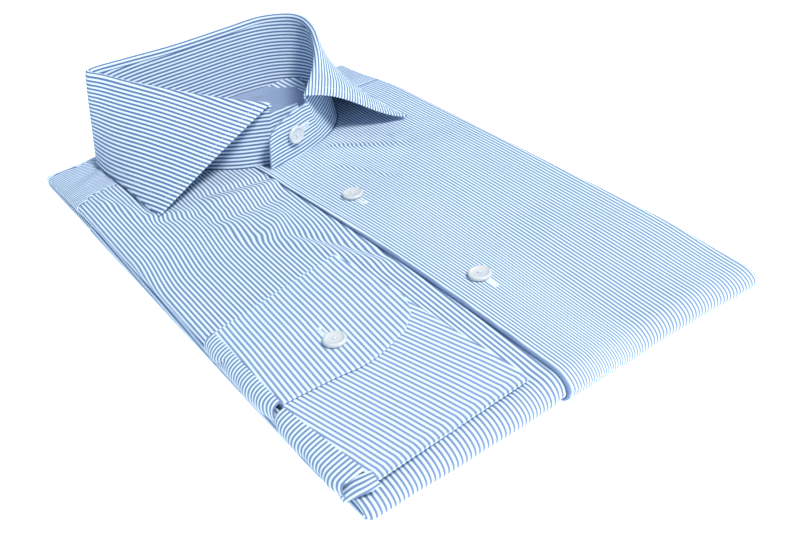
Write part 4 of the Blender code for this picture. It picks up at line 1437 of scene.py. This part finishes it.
@dataclass
class HiddenLayers:
    """Back, turn-ins, left sleeve and tails: flattened folds of cloth whose edges show at the sides."""

    start_y: float = -167 * MM
    end_y: float = 163 * MM
    shoulder_y: float = 100 * MM
    shoulder_thinning: float = 0.36
    drawn_in: float = 8 * MM
    wall: float = 0.4 * MM

    def fold(self, low: float, high: float, left: float, right: float, wave: float) -> ClothGrid:
        """One flattened fold between two heights, reaching to a left and a right x."""
        rows, path = [], []
        for y in refine([self.start_y, self.end_y], 5 * MM):
            calm = smooth((y - self.start_y) / (8 * MM)) * smooth((self.end_y - y) / (8 * MM))
            thinner = 1 - FORM.thinning(y) * self.shoulder_thinning
            z0, z1 = low * (0.35 + 0.65 * thinner), high * thinner
            radius = (z1 - z0) / 2 * mix(0.35, 1.0, calm)
            mid = (z0 + z1) / 2
            ripple = wave * (math.sin(y / (17 * MM) + low * 900) + 0.6 * math.sin(y / (6.1 * MM)))
            drawn_in = self.drawn_in * smooth((y - self.shoulder_y + 4 * MM) / (6 * MM))
            l_x = left + ripple - drawn_in - radius
            r_x = right + 0.7 * ripple + drawn_in + radius
            turn = np.linspace(-math.pi / 2, math.pi / 2, 9)
            xs = np.concatenate([
                np.linspace(0, l_x, 14)[:-1],
                l_x + radius * np.cos(turn),
                np.linspace(l_x, r_x, 26)[1:-1],
                r_x - radius * np.cos(turn),
                np.linspace(r_x, -0.5 * MM, 14)[1:],
            ])
            zs = np.concatenate([
                np.full(13, mid - radius),
                mid + radius * np.sin(turn),
                np.full(24, mid + radius),
                mid - radius * np.sin(turn),
                np.full(13, mid - radius),
            ])
            rows.append(np.stack([xs, np.full_like(xs, y), zs], axis=1))
            around = steps_along(rows[-1])
            path.append(np.stack([around, np.full_like(around, y)], axis=1))
        return ClothGrid(FORM.pinched(np.array(rows)), np.array(path), self.wall, Facing.ALONG)

    def build(self, finishes: Finishes) -> bpy.types.Object:
        """Makes the folds as one piece."""
        folds = [
            self.fold(3.0 * MM, 5.3 * MM, 97.5 * MM, -99.5 * MM, 0.2 * MM),
            self.fold(5.95 * MM, 7.55 * MM, 102.8 * MM, -104.8 * MM, 0.5 * MM),
            self.fold(7.9 * MM, 11.2 * MM, 97.5 * MM, -99.5 * MM, 0.2 * MM),
        ]
        piece = cloth_piece("hidden_layers", "shirt_cloth", ["folded_layers"], finishes.shirting, *folds)
        return piece


@dataclass
class Needle:
    """Sews rows of stitches and buttonholes as joined meshes of small round-ended threads."""

    name: str
    radius: float = 0.14 * MM
    sides: int = 6
    points: list = field(default_factory=list)
    faces: list = field(default_factory=list)
    total: int = 0

    def stitch(self, start: np.ndarray, end: np.ndarray, normal: np.ndarray,
               radius: float | None = None, arch: float = 0.5) -> None:
        """Adds one stitch.

        Args:
            start: Where the thread comes out of the cloth.
            end: Where it goes in again.
            normal: The cloth's outward direction there.
            radius: The thread's radius, if not the needle's own.
            arch: How far its middle stands above its ends, in radii.
        """
        thick = radius or self.radius
        run = end - start
        tangent = unit(run)
        side = unit(np.cross(normal, tangent))
        up = np.cross(tangent, side)
        stations = np.array([0.0, 0.06, 0.25, 0.5, 0.75, 0.94, 1.0])
        girth = np.array([0.35, 0.8, 1.0, 1.0, 1.0, 0.8, 0.35]) * thick
        rise = (4 * stations * (1 - stations) * arch - 0.35) * thick
        angle = np.arange(self.sides) * 2 * math.pi / self.sides
        ring = side[None, :] * np.cos(angle)[:, None] + up[None, :] * np.sin(angle)[:, None]
        centres = start + run * stations[:, None] + up * rise[:, None]
        points = centres[:, None] + ring[None] * girth[:, None, None]
        n, s = len(stations), self.sides
        base = self.total
        for i in range(n - 1):
            for j in range(s):
                k = (j + 1) % s
                self.faces.append([base + i * s + j, base + i * s + k,
                                   base + (i + 1) * s + k, base + (i + 1) * s + j])
        self.faces.append([base + j for j in range(s)][::-1])
        self.faces.append([base + (n - 1) * s + j for j in range(s)])
        self.points.append(points.reshape(-1, 3))
        self.total += n * s

    def row(self, line: np.ndarray, normals: np.ndarray, pitch: float = 2.3 * MM,
            filled: float = 0.78) -> None:
        """Sews along a line of points on the cloth.

        Args:
            line: The points.
            normals: The cloth's outward direction at each.
            pitch: Distance from one stitch to the next.
            filled: The share of the pitch that shows thread.
        """
        at = steps_along(line)
        count = max(1, int(at[-1] / pitch))
        starts = (np.arange(count) + (1 - filled) / 2) * at[-1] / count
        ends = starts + filled * at[-1] / count
        for a, b in zip(starts, ends):
            ends_at = [np.array([np.interp(v, at, line[:, k]) for k in range(3)]) for v in (a, b)]
            normal = unit(np.array([np.interp((a + b) / 2, at, normals[:, k]) for k in range(3)]))
            self.stitch(ends_at[0], ends_at[1], normal)

    def buttonhole(self, centre: np.ndarray, along: np.ndarray, normal: np.ndarray,
                   length: float = 15 * MM, width: float = 2.9 * MM) -> None:
        """Sews a buttonhole: two close rows of thread beside a slit, and a bar at each end.

        Args:
            centre: The middle of the slit, on the cloth.
            along: The slit's direction.
            normal: The cloth's outward direction.
            length: The slit's length.
            width: The width over both rows.
        """
        along = unit(along - normal * (along @ normal))
        side = np.cross(normal, along)
        thread = 0.17 * MM
        count = int(length / (1.9 * thread))
        for k in range(count):
            place = centre + along * (k / (count - 1) - 0.5) * length
            uneven = 0.08 * MM * math.sin(k * 2.4)
            for way in (-1, 1):
                inner = place + side * way * 0.22 * MM
                outer = place + side * way * (width / 2 + uneven)
                self.stitch(inner, outer, normal, thread, 0.9)
        for end in (-1, 1):
            for k in range(5):
                shift = along * end * (length / 2 + (k - 1) * 1.6 * thread)
                self.stitch(centre + shift - side * width / 2, centre + shift + side * width / 2,
                            normal, thread, 1.6)

    def build(self, material: bpy.types.Material) -> bpy.types.Object:
        """Makes the joined mesh of all the stitches."""
        mesh = bpy.data.meshes.new(self.name)
        mesh.from_pydata((np.concatenate(self.points) + SHIFT).tolist(), [], self.faces)
        mesh.shade_smooth()
        mesh.materials.append(material)
        return shown(self.name, mesh)


def surface_line(grid: ClothGrid, rows: np.ndarray,
                 columns: np.ndarray) -> tuple[np.ndarray, np.ndarray]:
    """Points and outward directions on a grid's outer face, at fractional rows and columns.

    Args:
        grid: The cloth.
        rows: Row places, which may lie between rows.
        columns: Column places, which may lie between columns.

    Returns:
        The points and the outward unit directions.
    """
    normals = -grid_normals(grid.points) * grid.facing.value

    def sample(values: np.ndarray) -> np.ndarray:
        """Values between the four nearest points."""
        r0 = np.clip(np.floor(rows).astype(int), 0, values.shape[0] - 2)
        c0 = np.clip(np.floor(columns).astype(int), 0, values.shape[1] - 2)
        fr, fc = (rows - r0)[:, None], (columns - c0)[:, None]
        top = mix(values[r0, c0], values[r0, c0 + 1], fc)
        low = mix(values[r0 + 1, c0], values[r0 + 1, c0 + 1], fc)
        return mix(top, low, fr)

    return sample(grid.points), unit(sample(normals))


@dataclass
class Sewing:
    """Topstitching along the collar, cuff and yoke, and the four buttonholes."""

    inset: float = 5.0 * MM
    cuff_inset: float = 2.3 * MM
    cuff_pitch: float = 1.9 * MM
    yoke_pitch: float = 2.1 * MM

    def collar_stitching(self, leaf: ClothGrid) -> Needle:
        """The leaf's topstitching: down one front edge, along the outer edge and up the other."""
        needle = Needle("collar_stitching", 0.11 * MM)
        rows, columns = leaf.points.shape[:2]
        fold = Collar.flat_column
        lengths = steps_along(leaf.points[:, -1])
        in_edge = float(np.interp(self.inset, lengths, np.arange(rows)))
        out_edge = rows - 1 - float(np.interp(self.inset, lengths[-1] - lengths[::-1], np.arange(rows)))
        depth = np.median(np.linalg.norm(leaf.points[:, -1] - leaf.points[:, fold], axis=1))
        in_column = columns - 1 - self.inset / depth * (columns - 1 - fold)
        up = np.linspace(in_column, fold, 60)
        near = np.linspace(in_edge, in_edge * 0.75, 60)
        far = rows - 1 - (rows - 1 - out_edge) * np.linspace(1, 0.75, 60)
        needle.row(*surface_line(leaf, near, up))
        needle.row(*surface_line(leaf, far, up))
        along = np.linspace(in_edge, out_edge, 400)
        needle.row(*surface_line(leaf, along, np.full(400, in_column)))
        return needle

    def cuff_stitching(self, cuff: ClothGrid) -> Needle:
        """One row along the buttonhole end, round its corner and up its right side."""
        needle = Needle("cuff_stitching", 0.07 * MM)
        rows, columns = cuff.points.shape[:2]
        upper = rows - Cuff.end_rows
        end = rows - 1 - self.cuff_inset / (1.0 * MM)
        right = columns - 1 - self.cuff_inset / (0.8 * MM)
        across = np.linspace(0, right - 4, 160)
        needle.row(*surface_line(cuff, np.full(160, end), across), self.cuff_pitch)
        corner_rows = np.linspace(end, end - 5, 24)
        corner = right - 4 + 4 * np.sin(np.linspace(0, math.pi / 2, 24))
        needle.row(*surface_line(cuff, corner_rows, corner), self.cuff_pitch)
        side_rows = np.linspace(end - 5, upper, 120)
        needle.row(*surface_line(cuff, side_rows, np.full(120, right)), self.cuff_pitch)
        return needle

    def yoke_stitching(self, yoke: ClothGrid) -> Needle:
        """One row just behind the yoke's seam on each shoulder."""
        needle = Needle("yoke_stitching", 0.09 * MM)
        columns = yoke.points.shape[1]
        xs = yoke.points[0, :, 0]
        for low, high in ((-104 * MM, -63 * MM), (63 * MM, 102 * MM)):
            inside = np.where((xs > low) & (xs < high))[0]
            inside = inside[(inside > 8) & (inside < columns - 8)]
            places = np.linspace(inside[0], inside[-1], 80)
            needle.row(*surface_line(yoke, np.full(80, 1.1), places), self.yoke_pitch)
        return needle


@dataclass
class Button:
    """A dished pearl button with a raised rim, four holes and crossed thread."""

    node: str
    facing: np.ndarray
    spin: float
    thickness: float = 2.2 * MM
    rim: float = 1.2 * MM
    dish: float = 0.45 * MM
    hole_radius: float = 0.45 * MM
    hole_spread: float = 0.95 * MM

    def centre_and_radius(self) -> tuple[Vector, float]:
        """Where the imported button's back face is, and its radius."""
        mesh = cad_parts[self.node].data
        co = np.array([v.co[:] for v in mesh.vertices])
        height = co @ self.facing
        middle = (co.min(0) + co.max(0)) / 2
        back = middle + self.facing * (height.min() - middle @ self.facing)
        flat = co - back
        flat = flat - np.outer(flat @ self.facing, self.facing)
        return Vector(back), float(np.linalg.norm(flat, axis=1).max())

    def outline(self, radius: float) -> list[tuple[float, float]]:
        """The button's turned section, as radius and height."""
        rounded = [(radius - 0.55 * MM + 0.55 * MM * math.sin(a), 1.1 * MM - 0.95 * MM * math.cos(a))
                   for a in np.linspace(0.25, math.pi - 0.3, 10)]
        dish = self.thickness - self.dish
        inner = radius - self.rim
        hollow = [(inner * t, dish - 0.12 * MM * (1 - t * t)) for t in (0.86, 0.6, 0.35, 0.0)]
        lip = [(inner + 0.15 * MM, self.thickness - 0.06 * MM), (inner - 0.25 * MM, dish + 0.2 * MM)]
        return [(0.0, 0.0), (radius - 1.0 * MM, 0.0)] + rounded + lip + hollow

    def body(self, name: str, radius: float) -> bpy.types.Object:
        """The turned button with its holes cut."""
        bm = bmesh.new()
        section = [bm.verts.new((r, 0, z)) for r, z in self.outline(radius)]
        edges = [bm.edges.new(pair) for pair in zip(section, section[1:])]
        bmesh.ops.spin(bm, geom=section + edges, cent=(0, 0, 0), axis=(0, 0, 1),
                       angle=2 * math.pi, steps=56, use_merge=True)
        bmesh.ops.remove_doubles(bm, verts=bm.verts, dist=1e-6)
        bmesh.ops.recalc_face_normals(bm, faces=bm.faces)
        mesh = bpy.data.meshes.new(name)
        bm.to_mesh(mesh)
        bm.free()
        bm = bmesh.new()
        for k in range(4):
            angle = math.pi / 4 + k * math.pi / 2
            place = Matrix.Translation((self.hole_spread * math.cos(angle),
                                        self.hole_spread * math.sin(angle), self.thickness / 2))
            bmesh.ops.create_cone(bm, cap_ends=True, segments=20, radius1=self.hole_radius,
                                  radius2=self.hole_radius, depth=3 * self.thickness, matrix=place)
        cutter_mesh = bpy.data.meshes.new(name + "_holes")
        bm.to_mesh(cutter_mesh)
        bm.free()
        obj, cutter = shown(name, mesh), shown(name + "_holes", cutter_mesh)
        cut = obj.modifiers.new("holes", "BOOLEAN")
        cut.operation, cut.object, cut.solver = "DIFFERENCE", cutter, "EXACT"
        bpy.context.view_layer.update()
        seen = obj.evaluated_get(bpy.context.evaluated_depsgraph_get())
        whole = bpy.data.meshes.new_from_object(seen)
        obj.modifiers.clear()
        obj.data = whole
        whole.name = name
        bpy.data.objects.remove(cutter)
        whole.shade_smooth()
        whole.set_sharp_from_angle(angle=math.radians(35))
        return obj

    def thread(self, name: str) -> Needle:
        """Two crossing bars of thread through the holes, and the shank under the button."""
        needle = Needle(name, 0.2 * MM)
        top = self.thickness - self.dish - 0.02 * MM
        for way in (0, 1):
            angle = math.pi / 4 + way * math.pi / 2
            run = np.array([math.cos(angle), math.sin(angle), 0.0]) * self.hole_spread
            side = np.array([-math.sin(angle), math.cos(angle), 0.0]) * 0.19 * MM
            lift = UP * (top + 0.12 * MM * way)
            for k in (-1, 0, 1):
                needle.stitch(lift - run + k * side, lift + run + k * side, UP, 0.2 * MM, 1.8)
            for end in (-1, 1):
                hole = end * run
                needle.stitch(hole - UP * 0.3 * MM, hole + lift, side / np.linalg.norm(side),
                              0.3 * MM, 0.0)
        return needle

    def build(self, finishes: Finishes) -> None:
        """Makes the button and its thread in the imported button's place."""
        back, radius = self.centre_and_radius()
        body = self.body(self.node + "_pearl", radius)
        body.data.materials.append(finishes.pearl)
        needle = self.thread(self.node + "_thread")
        needle.points = [p - SHIFT for p in needle.points]
        thread = needle.build(finishes.thread)
        turn = Vector(self.facing).to_track_quat("Z", "Y").to_matrix().to_4x4()
        turn = Matrix.Translation(back) @ turn @ Matrix.Rotation(self.spin, 4, "Z")
        for obj in (body, thread):
            obj.data.transform(turn)
        dress(body, "pearl_button", self.node)
        dress(thread, "pearl_button")


@dataclass
class Studio:
    """The pale floor, the soft light and the camera at the photograph's angle."""

    lens: float = 46.09
    floor_size: float = 6.0
    camera_at: Sequence[float] = (-0.21380, -0.40287, 0.28451)
    looks: Sequence[float] = (0.42460, 0.70907, -0.56296)
    right: Sequence[float] = (0.81205, -0.57322, -0.10952)
    sky_colour: Sequence[float] = (0.58, 0.77, 1.0, 1.0)
    sky_strength: float = 0.56
    key_at: Sequence[float] = (0.27, -1.04, 1.50)
    key_size: float = 0.38
    key_power: float = 32.5
    key_colour: Sequence[float] = (1.0, 0.985, 0.955)

    def floor(self) -> None:
        """A wide pale floor just under the shirt."""
        mesh = bpy.data.meshes.new("floor")
        h = self.floor_size / 2
        z = -0.05 * MM
        mesh.from_pydata([(-h, -h, z), (h, -h, z), (h, h, z), (-h, h, z)], [], [(0, 1, 2, 3)])
        obj = shown("floor", mesh)
        material = bpy.data.materials.new("floor_white")
        NodePen(material).look(Base_Color=(0.93, 0.935, 0.94, 1.0), Roughness=0.85, Specular_IOR_Level=0.1,
                               Emission_Color=(0.92, 0.96, 1.0, 1.0), Emission_Strength=0.8)
        mesh.materials.append(material)

    def key_light(self) -> None:
        """A square soft light that faces the shirt."""
        data = bpy.data.lights.new("key", "AREA")
        data.size, data.energy, data.color = self.key_size, self.key_power, self.key_colour
        obj = shown("key", data)
        obj.location = self.key_at
        obj.rotation_euler = (-Vector(self.key_at)).to_track_quat("-Z", "Y").to_euler()

    def sky(self) -> None:
        """An even, slightly blue surround."""
        world = bpy.data.worlds.new("surround")
        world.use_nodes = True
        background = world.node_tree.nodes["Background"]
        background.inputs["Color"].default_value = self.sky_colour
        background.inputs["Strength"].default_value = self.sky_strength
        bpy.context.scene.world = world

    def camera(self) -> None:
        """The camera, at the place and angle worked out from the photograph."""
        data = bpy.data.cameras.new("camera")
        data.lens, data.sensor_width = self.lens, 36.0
        data.clip_start, data.clip_end = 0.01, 50.0
        obj = shown("camera", data)
        look = Vector(self.looks).normalized()
        right = Vector(self.right)
        right = (right - look * right.dot(look)).normalized()
        up = right.cross(look)
        turn = Matrix((right, up, -look)).transposed().to_4x4()
        obj.matrix_world = Matrix.Translation(Vector(self.camera_at)) @ turn
        bpy.context.scene.camera = obj

    def build(self) -> None:
        """Sets up the whole studio."""
        self.floor()
        self.sky()
        self.key_light()
        self.camera()
        scene = bpy.context.scene
        scene.view_settings.view_transform = "Standard"
        scene.view_settings.look = "None"


LEFT_CREASES = (
    Crease(22, 60, 58, 30, 5, 1.7, 2.2),
    Crease(32, 66, 68, 38, 4, -1.2, -1.8),
    Crease(20, 44, 38, 12, 4, -1.0, -1.9),
    Crease(48, 70, 88, 34, 8, -0.9, -1.2),
    Crease(20, 44, 24, -110, 15, 1.0, 0.0),
    Crease(46, 30, 52, -84, 14, -0.9, -0.8),
    Crease(8, -40, 44, -118, 16, -0.6, -0.3),
    Crease(58, -78, 92, -142, 15, 0.8, 0.4),
    Crease(74, 8, 94, -62, 11, -0.7, -0.5),
    Crease(62, 100, 92, 78, 8, 0.7, 0.6),
)
RIGHT_CREASES = (
    Crease(-11, 56, -54, 68, 2.6, -1.0, 0.5),
    Crease(-13, 49, -52, 58, 4.2, 1.2, -0.6),
    Crease(-20, 36, -62, 40, 5, -0.9, 1.0),
    Crease(-28, 22, -48, 6, 6, 0.6, -1.1),
    Crease(-33, -2, -11, -52, 3.0, -1.1, 0.5),
    Crease(-39, -6, -16, -58, 4.5, 1.3, -0.6),
    Crease(-95, 106, -85, 74, 3.8, 0.9, -0.6),
    Crease(-85, 72, -62, 55, 3.8, 1.0, -0.9),
    Crease(-82, 62, -58, 49, 4.5, -0.7, 0.6),
    Crease(-106, -167, -22, -162, 5, -2.0, 0.0),
    Crease(-96, 52, -60, 16, 14, 0.7, 0.6),
    Crease(-98, -2, -62, -32, 12, 0.6, 0.3),
    Crease(-92, 100, -66, 84, 7, -0.7, -0.6),
)


def front_panels() -> list[FrontPanel]:
    """The two fronts with their own creases."""
    left = FrontPanel(Side.LEFT, "front_left_shell", "front_left", LEFT_CREASES,
                      (-14.3, -8, 8, 19, 30, 42, 51, 57, 60.6, 62.4, 74, 88), 0.0, -0.062,
                      pitch=1.96 * MM)
    right = FrontPanel(Side.RIGHT, "front_right_shell", "front_right", RIGHT_CREASES,
                       (-10.6, -12.9, -17.5, -25, -37, -49, -57, -62, -76, -90), -0.075, -0.055,
                       pitch=2.15 * MM, cut=(0.125, 0.550))
    return [left, right]


def middle_of(node: str) -> tuple[np.ndarray, float]:
    """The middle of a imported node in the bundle's frame, and the height of its underside."""
    low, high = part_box(node)
    return np.array((low + high) / 2) - SHIFT, low.z


def buttonholes(needle: Needle, band: ClothGrid) -> None:
    """Sews the four buttonholes, each reaching out past its button.

    Args:
        needle: The needle that collects them.
        band: The collar band's outer face, which carries one.
    """
    down = np.array([0.0, -1.0, 0.0])
    for node in ("button_front_1", "button_front_2"):
        middle, under = middle_of(node)
        place = np.array([middle[0] + 0.6 * MM, middle[1] - 3.4 * MM, under - 0.25 * MM])
        needle.buttonhole(place, down, UP)
    middle, under = middle_of("button_cuff")
    needle.buttonhole(np.array([middle[0], middle[1] + 4.4 * MM, under - 0.2 * MM]), -down, UP)
    middle, _ = middle_of("button_collar")
    gaps = np.linalg.norm(band.points - middle, axis=2)
    row, column = np.unravel_index(gaps[len(band.points) // 2:].argmin(), gaps.shape)
    row += len(band.points) // 2
    places = np.array([row - 3.0, row - 2.0])
    points, normals = surface_line(band, places, np.array([column, column], float))
    along = unit(points[0] - points[1])
    needle.buttonhole(points[0] + along * 1.0 * MM, along, normals[0])


def main() -> None:
    """Builds the shirt piece by piece, then the studio."""
    logging.basicConfig(level=logging.INFO, format="%(name)s: %(message)s")
    finishes = Finishes()
    HiddenLayers().build(finishes)
    for panel in front_panels():
        panel.build(finishes)
    yoke = Yoke()
    yoke.build(finishes)
    grids = Collar().build(finishes)
    NeckInside().build(finishes)
    cuff = Cuff()
    cuff_grid = cuff.build(finishes)
    Sleeve(cuff).build(finishes)
    sewing = Sewing()
    holes = Needle("buttonholes", 0.17 * MM)
    buttonholes(holes, grids["band"])
    for needle, slot in ((sewing.collar_stitching(grids["leaf"]), "collar_cloth"),
                         (sewing.cuff_stitching(cuff_grid), "cuff_cloth"),
                         (sewing.yoke_stitching(yoke.grid()), "shirt_cloth"),
                         (holes, "shirt_cloth")):
        dress(needle.build(finishes.thread), slot)
    for node, spin in (("button_front_1", 0.3), ("button_front_2", 0.1), ("button_cuff", 0.5)):
        Button(node, UP, spin).build(finishes)
    Button("button_collar", unit(np.array([0.2, -1.0, -0.06])), 0.4).build(finishes)
    Studio().build()


if __name__ == "__main__":
    main()
